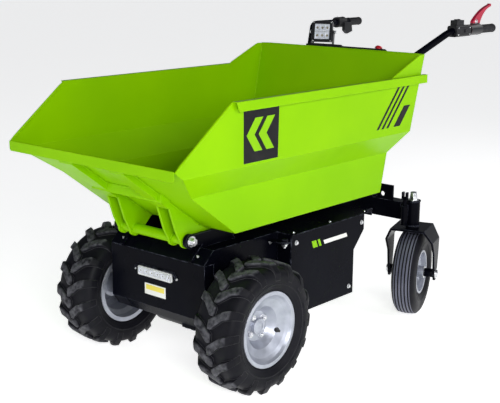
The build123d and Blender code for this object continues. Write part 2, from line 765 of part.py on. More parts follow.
def caster_tyre_solid():
    """Rear tyre: a rounded faceted casing."""
    half, bead = CASTER_W / 2, CASTER_RIM_HALF - 0.2
    seat = CASTER_SEAT_R / math.cos(math.pi / CASTER_FACETS)
    return faceted(two_sided([
        (bead, seat), (bead, CASTER_FLANGE_R + 2), (half, CASTER_R * 0.74),
        (half * 0.92, CASTER_R * 0.92), (half * 0.66, CASTER_R),
    ]), CASTER_FACETS)


def front_rim_solid():
    """Pressed steel rim, opening to +Y: barrel with a drop centre, deep bowl, hub and cap."""
    half, wall, seat = RIM_HALF_W, PLATE, RIM_SEAT_R - 0.2
    lip, drop = RIM_LIP, RIM_DROP
    floor, (waist_y, waist_r) = HUB_CAP_Y - HUB_CAP, BOWL_WAIST
    barrel_outside = [
        (half + lip, RIM_FLANGE_R), (half, RIM_FLANGE_R), (half, seat), (half * 0.6, seat),
        (half * 0.45, seat - drop), (-half * 0.45, seat - drop), (-half * 0.6, seat),
        (-half, seat), (-half, RIM_FLANGE_R), (-half - lip, RIM_FLANGE_R),
    ]
    barrel_inside = [
        (-half - lip, seat), (-half * 0.6 - wall, seat - wall),
        (-half * 0.45 - wall, seat - drop - wall), (half * 0.45, seat - drop - wall),
    ]
    bowl_back = [
        (waist_y, seat - drop), (waist_y - wall, waist_r), (floor + wall, BOWL_FOOT_R),
        (floor - wall, BOWL_FLOOR_R), (floor - wall, HUB_R), (-HUB_HALF, HUB_R),
    ]
    bore = [
        (-HUB_HALF, AXLE_R + RUNNING), (HUB_CAP_Y - HUB_COVER, AXLE_R + RUNNING),
        (HUB_CAP_Y - HUB_COVER, 0), (HUB_CAP_Y, 0), (HUB_CAP_Y, HUB_CAP_R), (floor, HUB_CAP_R),
    ]
    bowl_front = [
        (floor, BOWL_FLOOR_R), (floor + 2 * wall, BOWL_FOOT_R), (waist_y, waist_r),
        (half * 0.82, seat - drop + wall), (half * 0.95, seat - wall), (half + lip, seat + wall),
    ]
    return turned(barrel_outside + barrel_inside + bowl_back + bore + bowl_front)


def caster_rim_solid():
    """Rear rim: two-sided barrel on a flat disc, with the bearing hub and its spacers."""
    half, wall, seat = CASTER_RIM_HALF, PLATE, CASTER_SEAT_R - 0.2
    bore, hub, spacer = CASTER_AXLE_R + RUNNING, CASTER_HUB_R, CASTER_SPACER_R
    lip = half + CASTER_LIP
    end = FORK_HALF - FORK_PLATE - 0.5
    right = [
        (lip, CASTER_FLANGE_R), (lip, seat), (half / 2, seat - wall),
        (wall, seat - wall - half / 4), (wall, hub), (CASTER_HUB_HALF, hub), (CASTER_HUB_HALF, spacer),
        (end, spacer), (end, bore),
    ]
    left = [(-y, r) for y, r in right[::-1]]
    outside = [(-half, CASTER_FLANGE_R), (-half, seat), (half, seat), (half, CASTER_FLANGE_R)]
    return turned(right + left + outside)


# ---------------------------------------------------------------- casters
def fork():
    """Fork: top plate, sloping shoulders, tapered legs and kingpin, about the swivel axis."""
    top = FORK_Z + FORK_PLATE
    leg_line = [
        (FORK_TOP_HALF - FORK_PLATE, top), (FORK_TOP_HALF, top), (FORK_HALF, top - FORK_DROP),
        (FORK_HALF, CASTER_R - LEG_TAIL),
    ]
    legs = prism(strip(leg_line, -FORK_PLATE), "x", -FORK_REAR, FORK_FRONT)
    side_view = [
        (-FORK_REAR, top), (FORK_FRONT, top), (FORK_FRONT, top - FORK_PLATE),
        (-TRAIL + LEG_TOP_HALF, top - 2 * FORK_DROP), (-TRAIL + LEG_END_HALF, CASTER_R),
        (-TRAIL + LEG_END_HALF * 0.5, CASTER_R - LEG_TAIL),
        (-TRAIL - LEG_END_HALF * 0.5, CASTER_R - LEG_TAIL),
        (-TRAIL - LEG_END_HALF, CASTER_R), (-TRAIL - LEG_TOP_HALF, top - 2 * FORK_DROP),
        (-FORK_REAR, top - FORK_PLATE),
    ]
    legs = legs & prism(side_view, "y", -FAR, FAR)
    plate = block((-FORK_REAR, FORK_FRONT), (-FORK_TOP_HALF, FORK_TOP_HALF), (FORK_Z, top))
    body = plate + legs + mirrored(legs)
    body += bar((0, 0, top), (0, 0, SWIVEL_HIGH + CAP + NUT + STUD), KINGPIN_R)
    body += bar((0, 0, top), (0, 0, SWIVEL_LOW - BODY_GAP), SWIVEL_R)
    return body - bar((-TRAIL, -FAR, CASTER_R), (-TRAIL, FAR, CASTER_R), CASTER_AXLE_R)


def kingpin_cap():
    """Washer and nut that hold the kingpin in its tube."""
    cap = bar((0, 0, SWIVEL_HIGH + BODY_GAP), (0, 0, SWIVEL_HIGH + CAP), CAP_R)
    nut = hex_bar((0, 0, SWIVEL_HIGH + CAP), (0, 0, SWIVEL_HIGH + CAP + NUT), NUT_R)
    return cap + nut - bar((0, 0, 0), (0, 0, FAR), KINGPIN_R)


def caster_axle():
    """Axle bolt of a caster wheel with its head and nut."""
    bolt = ring(CASTER_AXLE_R, 0, -FORK_HALF, FORK_HALF, -TRAIL, CASTER_R)
    head = hex_bar(
        (-TRAIL, FORK_HALF, CASTER_R), (-TRAIL, FORK_HALF + AXLE_NUT, CASTER_R), AXLE_NUT_R
    )
    return bolt + head + mirrored(head)


# ---------------------------------------------------------------- handlebar and controls
def handlebar():
    """Two bent tubes from the rails up past the control box to the grips."""
    route = [
        (CASTER_X, UPRIGHT_Y, RAIL_HIGH),
        (CASTER_X, UPRIGHT_Y, RAIL_HIGH + UPRIGHT_STRAIGHT),
        SHOULDER_BAR,
        (BEND_X, GRIP_Y, GRIP_Z),
        (GRIP_REAR_X + GRIP_END, GRIP_Y, GRIP_Z),
    ]
    path = FilletPolyline(*route, radius=TUBE_BEND)
    tube = sweep(Plane(origin=path @ 0, z_dir=path % 0) * Circle(TUBE_R), path=path)
    low, high = route[1], route[2]
    share = (CROSSBAR_Z - low[2]) / (high[2] - low[2])
    cross_x, cross_y = (a + share * (b - a) for a, b in zip(low[:2], high[:2]))
    crossbar = bar((cross_x, -cross_y, CROSSBAR_Z), (cross_x, cross_y, CROSSBAR_Z), TUBE_R)
    return tube + mirrored(tube) + crossbar


def handle_bore(side):
    """The space that a handle tube takes, for the parts clamped on it."""
    y = side * GRIP_Y
    return bar((GRIP_REAR_X + GRIP_END, y, GRIP_Z), (BEND_X, y, GRIP_Z), TUBE_R)


def grip(side):
    """Rubber grip with a collar at its inner end, closed at its outer end."""
    y = side * GRIP_Y
    body = bar((GRIP_FRONT_X[side], y, GRIP_Z), (GRIP_REAR_X, y, GRIP_Z), GRIP_R)
    return body - handle_bore(side)


def switch_box():
    """Black switch housing clamped on the left handle tube, with its raised switch."""
    body = block(
        SWITCH_X, (GRIP_Y - SWITCH_HALF, GRIP_Y + SWITCH_HALF),
        (GRIP_Z - SWITCH_HALF, GRIP_Z + SWITCH_HALF),
    )
    body = fillet(body.edges().filter_by(Axis.X), SWITCH_HALF * 0.4)
    body += block(
        SWITCH_TOP_X, (GRIP_Y - SWITCH_HALF * 0.7, GRIP_Y + SWITCH_HALF * 0.7),
        (GRIP_Z, GRIP_Z + SWITCH_TOP),
    )
    return body - handle_bore(1)


def brake_lever():
    """Red lever with its clamp, sweeping up and back over the left grip in one curve."""
    rear, front = LEVER_FOOT_X
    heel, top = GRIP_Z + PERCH_R / 2, GRIP_Z + LEVER_FOOT_TOP
    tip_x, tip_z = LEVER_TIP[0], GRIP_Z + LEVER_TIP[1]
    back, belly = ((x, GRIP_Z + z) for x, z in (LEVER_BACK, LEVER_BELLY))
    over = (tip_x + LEVER_TIP_R, tip_z + LEVER_TIP_R)
    outline = [
        Line((front, heel), (front, top)),
        ThreePointArc((front, top), back, over),
        ThreePointArc(over, (tip_x - LEVER_TIP_R / 2, over[1] - LEVER_TIP_R / 3), (tip_x, tip_z)),
        ThreePointArc((tip_x, tip_z), belly, (rear, top - PERCH_R / 2)),
        Line((rear, top - PERCH_R / 2), (rear, heel)),
        Line((rear, heel), (front, heel)),
    ]
    side_view = make_face(outline)
    blade = extrude(
        Plane(origin=(0, GRIP_Y + LEVER_THICK / 2, 0), x_dir=(1, 0, 0), z_dir=(0, -1, 0)) * side_view,
        amount=LEVER_THICK,
    )
    perch = bar((PERCH_X[1], GRIP_Y, GRIP_Z), (PERCH_X[0], GRIP_Y, GRIP_Z), PERCH_R)
    return perch + blade - handle_bore(1)


def throttle():
    """Thumb throttle: collar on the right handle tube with a paddle under it."""
    x0, x1 = THROTTLE_X
    long, thick, deep = PADDLE
    collar = bar((x0 + THROTTLE_R, -GRIP_Y, GRIP_Z), (x1, -GRIP_Y, GRIP_Z), THROTTLE_R)
    paddle = prism(
        [(x0, GRIP_Z), (x0 + long, GRIP_Z), (x0 + long, GRIP_Z - deep),
         (x0 + long * 0.6, GRIP_Z - deep - thick), (x0 - thick / 2, GRIP_Z - deep - thick / 3)],
        "y", -GRIP_Y + TUBE_R + 1, -GRIP_Y + TUBE_R + 1 + thick,
    )
    return collar + paddle - handle_bore(-1)


def on_desk(down, across):
    """A place on the control box's sloping top, z square to it."""
    slope = math.radians(CONTROL_SLOPE)
    return Pos(
        CONTROL_X[1] - down * math.cos(slope), across, CONTROL_TOP - down * math.sin(slope)
    ) * Rot(0, -CONTROL_SLOPE, 0)


def control_box():
    """Controller housing on the crossbar, its top a desk that slopes to the operator."""
    low = CROSSBAR_Z + TUBE_R
    drop = (CONTROL_X[1] - CONTROL_X[0]) * math.tan(math.radians(CONTROL_SLOPE))
    outline = [
        (CONTROL_X[0], low), (CONTROL_X[1], low), (CONTROL_X[1], CONTROL_TOP),
        (CONTROL_X[0], CONTROL_TOP - drop),
    ]
    return prism(outline, "y", -CONTROL_HALF, CONTROL_HALF)


def emergency_stop():
    """Mushroom button on the desk."""
    neck = Cylinder(STOP_R * 0.7, STOP_HIGH / 2, align=(Align.CENTER, Align.CENTER, Align.MIN))
    cap = Pos(0, 0, STOP_HIGH / 2) * Cone(
        STOP_R, STOP_R * 0.7, STOP_HIGH / 2, align=(Align.CENTER, Align.CENTER, Align.MIN)
    )
    return on_desk(*STOP_AT) * (neck + cap)


def lamp_place():
    return Pos(*LAMP_AT) * Rot(0, 0, LAMP_TURN) * Rot(0, -LAMP_TILT, 0)


def work_lamp():
    """Square work lamp: open frame with its lens set back, and cooling fins behind."""
    half, front = LAMP / 2, LAMP_FRAME / 2
    rim, recess = LAMP_RIM, LAMP_RECESS
    back, inset = -front - LAMP_BODY, LAMP_INSET
    lamp = block((-front, front), (-half, half), (-half, half))
    lamp = chamfer(lamp.edges().filter_by(Axis.X), LAMP_CORNER)
    lamp -= block(
        (front - recess, front + 1), (-half + rim, half - rim), (-half + rim, half - rim)
    )
    lamp += block((back / 2, -front), (-half + inset, half - inset), (-half + inset, half - inset))
    pitch = (LAMP - 2 * inset - STIRRUP) / (LAMP_FINS - 1)
    for i in range(LAMP_FINS):
        y = -half + inset + i * pitch
        lamp += block((back, -front), (y, y + STIRRUP), (-half + inset, half - inset))
    return lamp_place() * lamp


def lamp_bracket():
    """Foot on the desk and the stirrup that carries the work lamp."""
    half = LAMP / 2 + STIRRUP_CLEAR[0]
    low, x = -LAMP / 2 - STIRRUP_CLEAR[1], -LAMP_FRAME / 2
    knob = half + STIRRUP + LAMP_KNOB
    arm_x = (x - STIRRUP_HALF, x + STIRRUP_HALF)
    line = [(-half, LAMP_KNOB_R), (-half, low), (half, low), (half, LAMP_KNOB_R)]
    stirrup = prism(strip(line, -STIRRUP), "x", *arm_x)
    for side in (1, -1):
        stirrup += bar((x, side * LAMP / 2, 0), (x, side * knob, 0), LAMP_KNOB_R)
    bracket = lamp_place() * stirrup
    middle = sum(LAMP_FOOT_Y) / 2
    foot = on_desk(STIRRUP_HALF + FOOT_INSET, middle) * block(
        (-STIRRUP_HALF, STIRRUP_HALF),
        (LAMP_FOOT_Y[0] - middle, LAMP_FOOT_Y[1] - middle),
        (0, STIRRUP * 2),
    )
    start = on_desk(STIRRUP_HALF + FOOT_INSET, LAMP_AT[1]).position
    end = (lamp_place() * Pos(x, 0, low)).position
    return bracket + foot + bar(tuple(start), tuple(end), LAMP_BOSS_R) - control_box()


def led_bar():
    """Light bar on the front panel with a row of lens cups."""
    body = block((PANEL_X, PANEL_X + LED_DEEP), LED_Y, LED_Z)
    body = fillet(body.edges().filter_by(Axis.X), LED_CORNER)
    pitch, z = (LED_Y[1] - LED_Y[0]) / LEDS, sum(LED_Z) / 2
    for i in range(LEDS):
        y = LED_Y[0] + pitch * (i + 0.5)
        body -= bar((PANEL_X + LED_DEEP / 2, y, z), (PANEL_X + 2 * LED_DEEP, y, z), LED_R)
    return body


# ---------------------------------------------------------------- assembly
def at_wheel(part, side):
    placed = part if side > 0 else mirrored(part)
    return Pos(0, side * WHEEL_Y, WHEEL_R) * placed


def at_caster(part, side):
    return Pos(CASTER_X, side * CASTER_Y, 0) * Rot(0, 0, CASTER_TURN) * part


front_tyre = lugged_tyre()
front_rim = front_rim_solid()
wheel_place = Pos(-TRAIL, 0, CASTER_R)
caster_tyre = wheel_place * caster_tyre_solid()
caster_rim = wheel_place * caster_rim_solid()

nodes = {
    "chassis_rails": both_sides(rails()),
    "pivot_cheeks": both_sides(pivot_cheek()),
    "pivot_pins": both_sides(pivot_pin()),
    "front_panel": front_panel(),
    "front_cover": front_cover(),
    "side_cover_left": side_cover(),
    "side_cover_right": mirrored(side_cover()),
    "battery_tray": box_shell(),
    "battery_lid": top_cover(),
    "battery_pack": battery(),
    "drive_axle": drive_axle(),
    "rear_beam": rear_beam(),
    "lock_pins": both_sides(lock_pin()),
    "latch_brackets": latch_brackets(),
    "rest_pads": rest_pads(),
    "handlebar": handlebar(),
    "grip_left": grip(1),
    "grip_right": grip(-1),
    "switch_box": switch_box(),
    "brake_lever": brake_lever(),
    "throttle": throttle(),
    "control_box": control_box(),
    "emergency_stop": emergency_stop(),
    "work_lamp": work_lamp(),
    "lamp_bracket": lamp_bracket(),
    "led_bar": led_bar(),
    "skip_floor": skip_floor(),
    "skip_side_left": skip_side(),
    "skip_side_right": mirrored(skip_side()),
    "skip_rear_wall": skip_rear_wall(),
    "skip_ribs": skip_ribs(),
}
for name, hand in (("left", 1), ("right", -1)):
    nodes["front_tyre_" + name] = at_wheel(front_tyre, hand)
    nodes["front_rim_" + name] = at_wheel(front_rim, hand)
    nodes["caster_fork_" + name] = at_caster(fork(), hand)
    nodes["caster_nut_" + name] = at_caster(kingpin_cap(), hand)
    nodes["caster_axle_" + name] = at_caster(caster_axle(), hand)
    nodes["caster_tyre_" + name] = at_caster(caster_tyre, hand)
    nodes["caster_rim_" + name] = at_caster(caster_rim, hand)

whole = Compound(children=[Compound(children=list(part.solids())) for part in nodes.values()])
box = whole.bounding_box()
shift = Pos(-(box.min.X + box.max.X) / 2, -(box.min.Y + box.max.Y) / 2, -box.min.Z)
print("shift", -(box.min.X + box.max.X) / 2, -(box.min.Y + box.max.Y) / 2, -box.min.Z)

os.makedirs("parts", exist_ok=True)
for name, part in nodes.items():
    solids = [shift * solid for solid in part.solids()]
    export_step(solids[0] if len(solids) == 1 else Compound(children=solids), f"parts/{name}.step")
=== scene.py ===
import json
import math

import bmesh
import bpy
from mathutils import Matrix, Vector


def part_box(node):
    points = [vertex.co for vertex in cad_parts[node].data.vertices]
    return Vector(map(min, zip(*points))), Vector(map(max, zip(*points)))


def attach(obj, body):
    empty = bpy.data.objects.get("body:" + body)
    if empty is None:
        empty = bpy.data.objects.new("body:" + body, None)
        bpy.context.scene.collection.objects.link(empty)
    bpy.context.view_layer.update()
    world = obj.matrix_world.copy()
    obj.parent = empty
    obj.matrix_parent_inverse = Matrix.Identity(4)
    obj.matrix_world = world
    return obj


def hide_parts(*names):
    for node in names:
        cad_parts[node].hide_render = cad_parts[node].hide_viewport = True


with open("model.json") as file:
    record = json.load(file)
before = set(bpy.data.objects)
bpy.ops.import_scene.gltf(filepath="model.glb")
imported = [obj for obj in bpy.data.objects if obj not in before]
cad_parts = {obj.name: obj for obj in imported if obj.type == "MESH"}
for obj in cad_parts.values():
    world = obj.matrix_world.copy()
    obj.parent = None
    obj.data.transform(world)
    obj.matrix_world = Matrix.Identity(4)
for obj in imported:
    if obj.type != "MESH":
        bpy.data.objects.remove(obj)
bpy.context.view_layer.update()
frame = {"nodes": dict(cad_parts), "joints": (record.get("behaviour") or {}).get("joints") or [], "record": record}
nodes = frame["nodes"]
MM = 0.001

# -------- places taken from the frame
joint_at = {j["name"]: Vector(j["pos_m"]) for j in frame["joints"]}
joint_axis = {j["name"]: Vector(j["axis"]) for j in frame["joints"]}
tyre_low, tyre_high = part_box("front_tyre_left")
AXLE = Vector(((tyre_low.x + tyre_high.x) / 2, 0, 0))  # on the ground below the front axle
SIDES = (("left", 1), ("right", -1))


def at(x, y, z):
    """A place in millimetres from the front axle's foot."""
    return Vector((x, y, z)) * MM + AXLE


# -------- nodes of materials and of the sky
class Nodes:
    """A material's or world's nodes: short calls that each add one node and return its output."""

    def __init__(self, data, shader="Principled BSDF", place="Object", **constants):
        data.use_nodes = True
        self.data = data
        self.shader = data.node_tree.nodes[shader]
        self.place = self.node("TexCoord")[place]
        self.finish(**constants)

    def join(self, value, socket):
        """Links an output to the socket, or sets a constant there."""
        if hasattr(value, "links"):
            self.data.node_tree.links.new(value, socket)
        else:
            socket.default_value = value

    def node(self, kind, inputs=(), **settings):
        made = self.data.node_tree.nodes.new("ShaderNode" + kind)
        for name, value in settings.items():
            setattr(made, name, value)
        for socket, value in dict(inputs).items():
            self.join(value, made.inputs[socket])
        return made.outputs

    def noise(self, scale, detail=3.0, stretch=None):
        place = self.place
        if stretch:
            place = self.node("Mapping", {"Vector": place, "Scale": stretch})["Vector"]
        return self.node("TexNoise", {"Vector": place, "Scale": scale, "Detail": detail})["Fac"]

    def cells(self, scale):
        return self.node("TexVoronoi", {"Vector": self.place, "Scale": scale})["Distance"]

    def span(self, value, low, high, to_low=0.0, to_high=1.0):
        return self.node("MapRange", enumerate((value, low, high, to_low, to_high)))[0]

    def math(self, operation, a, b):
        return self.node("Math", {0: a, 1: b}, operation=operation)[0]

    def times(self, a, b):
        return self.math("MULTIPLY", a, b)

    def blend(self, share, a, b):
        return self.node("Mix", {"Factor": share, "A": a, "B": b}, data_type="RGBA")["Result"]

    def height(self):
        return self.node("SeparateXYZ", {0: self.place})["Z"]

    def from_axle(self, centre):
        """Distance from the line along Y through a place."""
        flat = self.node("VectorMath", {0: self.place, 1: (1, 0, 1)}, operation="MULTIPLY")[0]
        line = (centre.x, 0, centre.z)
        return self.node("VectorMath", {0: flat, 1: line}, operation="DISTANCE")["Value"]

    def edge(self, radius):
        """Rounded normal near edges, and how much it turns from the flat one."""
        rounded = self.node("Bevel", {"Radius": radius}, samples=4)["Normal"]
        flat = self.node("NewGeometry")["Normal"]
        dot = self.node("VectorMath", {0: rounded, 1: flat}, operation="DOT_PRODUCT")["Value"]
        return rounded, self.span(dot, 0.99, 0.88)

    def bump(self, value, strength, distance, normal=None):
        inputs = {"Strength": strength, "Distance": distance, "Height": value}
        if normal:
            inputs["Normal"] = normal
        return self.node("Bump", inputs)["Normal"]

    def finish(self, **inputs):
        """Joins values to the shader's inputs, whose names have _ for a space."""
        for name, value in inputs.items():
            self.join(value, self.shader.inputs[name.replace("_", " ")])
        return self.data


def material(name="look", shine=0.5, **constants):
    return Nodes(bpy.data.materials.new(name), Specular_IOR_Level=shine, **constants)


# -------- camera, floor and light
CAMERA_AT = (2.2417, 2.2231, 1.2755)  # from the front axle's foot, in metres
TURN, PITCH, ROLL = 41.107, 13.066, 0.367  # degrees
LENS, SENSOR = 74.76, 36
SHIFT = (0.0122, -0.0041)
FAR_CLIP = 100
SKY = (0.86, 0.91, 1, 1)
HORIZON = (0, 0.25)  # a pale horizon that darkens upwards: heights and strengths
SKY_POWER = (0.86, 0.08)
PAPER = (0.93, 0.93, 0.93, 1)
PAPER_GLOW = 0.80  # a sweep lit from below, so that it stays white far back
FLOOR_SIZE = 400
LIGHT_TARGET = (0.1, 0, 0.5)
# name, place, size, power
LIGHTS = (
    ("key", (3.2, 3.3, 1.9), (1.6, 1.2), 120),
    ("side", (-0.3, 4.2, 2.3), (2, 1.2), 66),
    ("front", (4.4, -0.8, 1.4), (1.6, 1.2), 18),
    ("top", (0, 0, 4.2), (2.6, 2.6), 1),
    ("rear", (-3.6, 0.6, 2.4), (2, 1.6), 15),
)


def make_camera():
    turn, pitch, roll = (math.radians(v) for v in (TURN, PITCH, ROLL))
    flat = -math.cos(pitch)
    forward = Vector((flat * math.cos(turn), flat * math.sin(turn), -math.sin(pitch)))
    right = Vector((-math.sin(turn), math.cos(turn), 0))
    up = right.cross(forward)
    c, s = math.cos(roll), math.sin(roll)
    right, up = right * c + up * s, up * c - right * s
    data = bpy.data.cameras.new("camera")
    data.lens, data.sensor_width = LENS, SENSOR
    data.shift_x, data.shift_y = SHIFT
    data.clip_end = FAR_CLIP
    camera = bpy.data.objects.new("camera", data)
    turned = Matrix((right, up, -forward)).transposed().to_4x4()
    camera.matrix_world = Matrix.Translation(Vector(CAMERA_AT) + AXLE) @ turned
    bpy.context.scene.collection.objects.link(camera)
    bpy.context.scene.camera = camera


def make_world():
    sky = Nodes(bpy.data.worlds.new("studio"), "Background", "Generated", Color=SKY)
    bpy.context.scene.world = sky.finish(Strength=sky.span(sky.height(), *HORIZON, *SKY_POWER))
    bpy.context.scene.view_settings.view_transform = "Standard"


def area_light(name, place, size, power):
    data = bpy.data.lights.new(name, "AREA")
    data.shape, data.size, data.size_y, data.energy = "RECTANGLE", size[0], size[1], power
    light = bpy.data.objects.new(name, data)
    light.location = place
    light.visible_camera = False
    way = Vector(LIGHT_TARGET) - Vector(place)
    light.rotation_euler = way.to_track_quat("-Z", "Y").to_euler()
    bpy.context.scene.collection.objects.link(light)


def make_floor():
    bpy.ops.mesh.primitive_plane_add(size=FLOOR_SIZE)
    floor = bpy.context.object
    floor.name = "floor"
    paper = material(
        "paper", Base_Color=PAPER, Roughness=0.9, Emission_Color=PAPER, Emission_Strength=PAPER_GLOW,
    )
    floor.data.materials.append(paper.data)


make_camera()
make_world()
for light_facts in LIGHTS:
    area_light(*light_facts)
make_floor()


# -------- recipes and looks
# Scales of noise are in cells per metre; radius and depth are in metres.
DUST = (0.32, 0.29, 0.25, 1)
DUST_LOW, DUST_HIGH = 0.12, 0.62  # dust is full at the first height and gone at the second
PERCH_TOP = 1048 * MM  # the brake lever's perch is black up to here
PERCH_BLEND = 0.5 * MM
# colours of the first and second tone; the green also has its roughness
GREEN = ((0.205, 0.47, 0, 1), (0.24, 0.52, 0, 1), (0.30, 0.42))
BLACK = ((0.006, 0.006, 0.008, 1), (0.012, 0.012, 0.015, 1))
FINE_FILM = {"grain": 1600, "depth": 0.00002}
METAL_EDGE, METAL_RUB = (0.9, 0.9, 0.92, 1), 0.4
# lighter edges of moulded parts: partly rubbed, partly a painted highlight
MOULDED_EDGE_WEAR_AND_HIGHLIGHT, MOULDED_EDGE_WEAR_AND_HIGHLIGHT_SHARE = (0.22, 0.22, 0.23, 1), 0.18
LIT_CELLS, LIT_EDGE = 900, (0.45, 0.42, 0.30, 1)


def paint(color, light, rough, radius=0.0015, dust=0.25, grain=420.0, depth=0.00006,
          edge_wear_and_highlight=(0.5, 0.5, 0.5, 1), edge_wear_and_highlight_share=0.25, below=None, **constants):
    """Sprayed metal: orange peel, tone drift, edges lightened partly as rubbed paint and partly as a painted
    highlight, and a little dust low down.
    """
    m = material(**constants)
    normal, edge = m.edge(radius)
    tone = m.span(m.noise(2.5, 4), 0.35, 0.65)
    base = m.blend(tone, color, light)
    if below:
        base = m.blend(m.span(m.height(), below[0], below[0] + PERCH_BLEND), below[1], base)
    low = m.span(m.height(), DUST_HIGH, DUST_LOW)
    low = m.times(low, m.span(m.noise(14, 6), 0.45, 0.75))
    base = m.blend(m.times(low, dust), base, DUST)
    # edges lightened: partly rubbed paint, partly a painted highlight along edges and folds
    edge_wear_and_highlight_mask = m.times(edge, m.span(m.noise(45, 5), 0.40, 0.62))
    base = m.blend(m.times(edge_wear_and_highlight_mask, edge_wear_and_highlight_share), base, edge_wear_and_highlight)
    gloss = m.span(m.noise(7, 5), 0.3, 0.7, rough[0], rough[1])
    normal = m.bump(m.noise(grain, 2.0), 0.35, depth, normal)
    return m.finish(Base_Color=base, Roughness=gloss, Normal=normal)


def metal(color, light, rough, stretch, radius=0.0008, grain=140.0, depth=0.00008, **constants):
    """Bare or plated metal with a directional grain and fine smudges."""
    m = material(**constants)
    normal, edge = m.edge(radius)
    smudge = m.span(m.noise(22, 5), 0.35, 0.7)
    base = m.blend(smudge, color, light)
    base = m.blend(m.times(edge, METAL_RUB), base, METAL_EDGE)
    lines = m.noise(grain, 3.0, stretch)
    gloss = m.math("ADD", m.span(smudge, 0, 1, rough[0], rough[1]), m.span(lines, 0.3, 0.7, 0, 0.06))
    normal = m.bump(lines, 0.25, depth, normal)
    return m.finish(Base_Color=base, Roughness=gloss, Normal=normal)


def moulded(color, light, rough, radius=0.001, grain=700.0, depth=0.00012, dust=0.2,
            scuff_and_highlight=None, **constants):
    """Rubber or plastic with a fine moulded grain, dust in patches, and lighter tops that are partly scuffs and
    partly a painted highlight.

    scuff_and_highlight: the distances from the axle between which the lighter tops come and go, and their colour.
    """
    m = material(**constants)
    normal, edge = m.edge(radius)
    base = m.blend(m.span(m.noise(9, 5), 0.35, 0.7), color, light)
    # lighter tops: partly scuffs, partly a painted highlight
    if scuff_and_highlight:
        out = m.from_axle(joint_at["front_wheel_left"])
        top = m.times(m.span(out, *scuff_and_highlight[0]), m.span(out, *scuff_and_highlight[1]))
        top = m.times(top, m.span(m.noise(70, 8), 0.30, 0.66))
        base = m.blend(top, base, scuff_and_highlight[2])
    base = m.blend(m.times(m.span(m.noise(35, 6), 0.5, 0.8), dust), base, DUST)
    # edges lightened: partly rubbed, partly a painted highlight
    base = m.blend(m.times(edge, MOULDED_EDGE_WEAR_AND_HIGHLIGHT_SHARE), base, MOULDED_EDGE_WEAR_AND_HIGHLIGHT)
    gloss = m.span(m.noise(16, 4), 0.3, 0.7, rough[0], rough[1])
    normal = m.bump(m.cells(grain), 0.3, depth, normal)
    return m.finish(Base_Color=base, Roughness=gloss, Normal=normal)


def glow(color, power, rough):
    """Light source face with a faint cell pattern."""
    m = material(Emission_Strength=power)
    base = m.blend(m.span(m.cells(LIT_CELLS), 0.3, 0.9), color, LIT_EDGE)
    normal = m.bump(m.cells(LIT_CELLS), 0.2, 0.0001)
    return m.finish(Base_Color=base, Emission_Color=base, Roughness=rough, Normal=normal)


def glass(color, rough):
    """Clear cover with faint smears."""
    m = material(IOR=1.5, Transmission_Weight=1.0)
    gloss = m.span(m.noise(30, 4), 0.3, 0.8, rough[0], rough[1])
    normal = m.bump(m.noise(60, 2), 0.05, 0.0001)
    return m.finish(Base_Color=color, Roughness=gloss, Normal=normal)


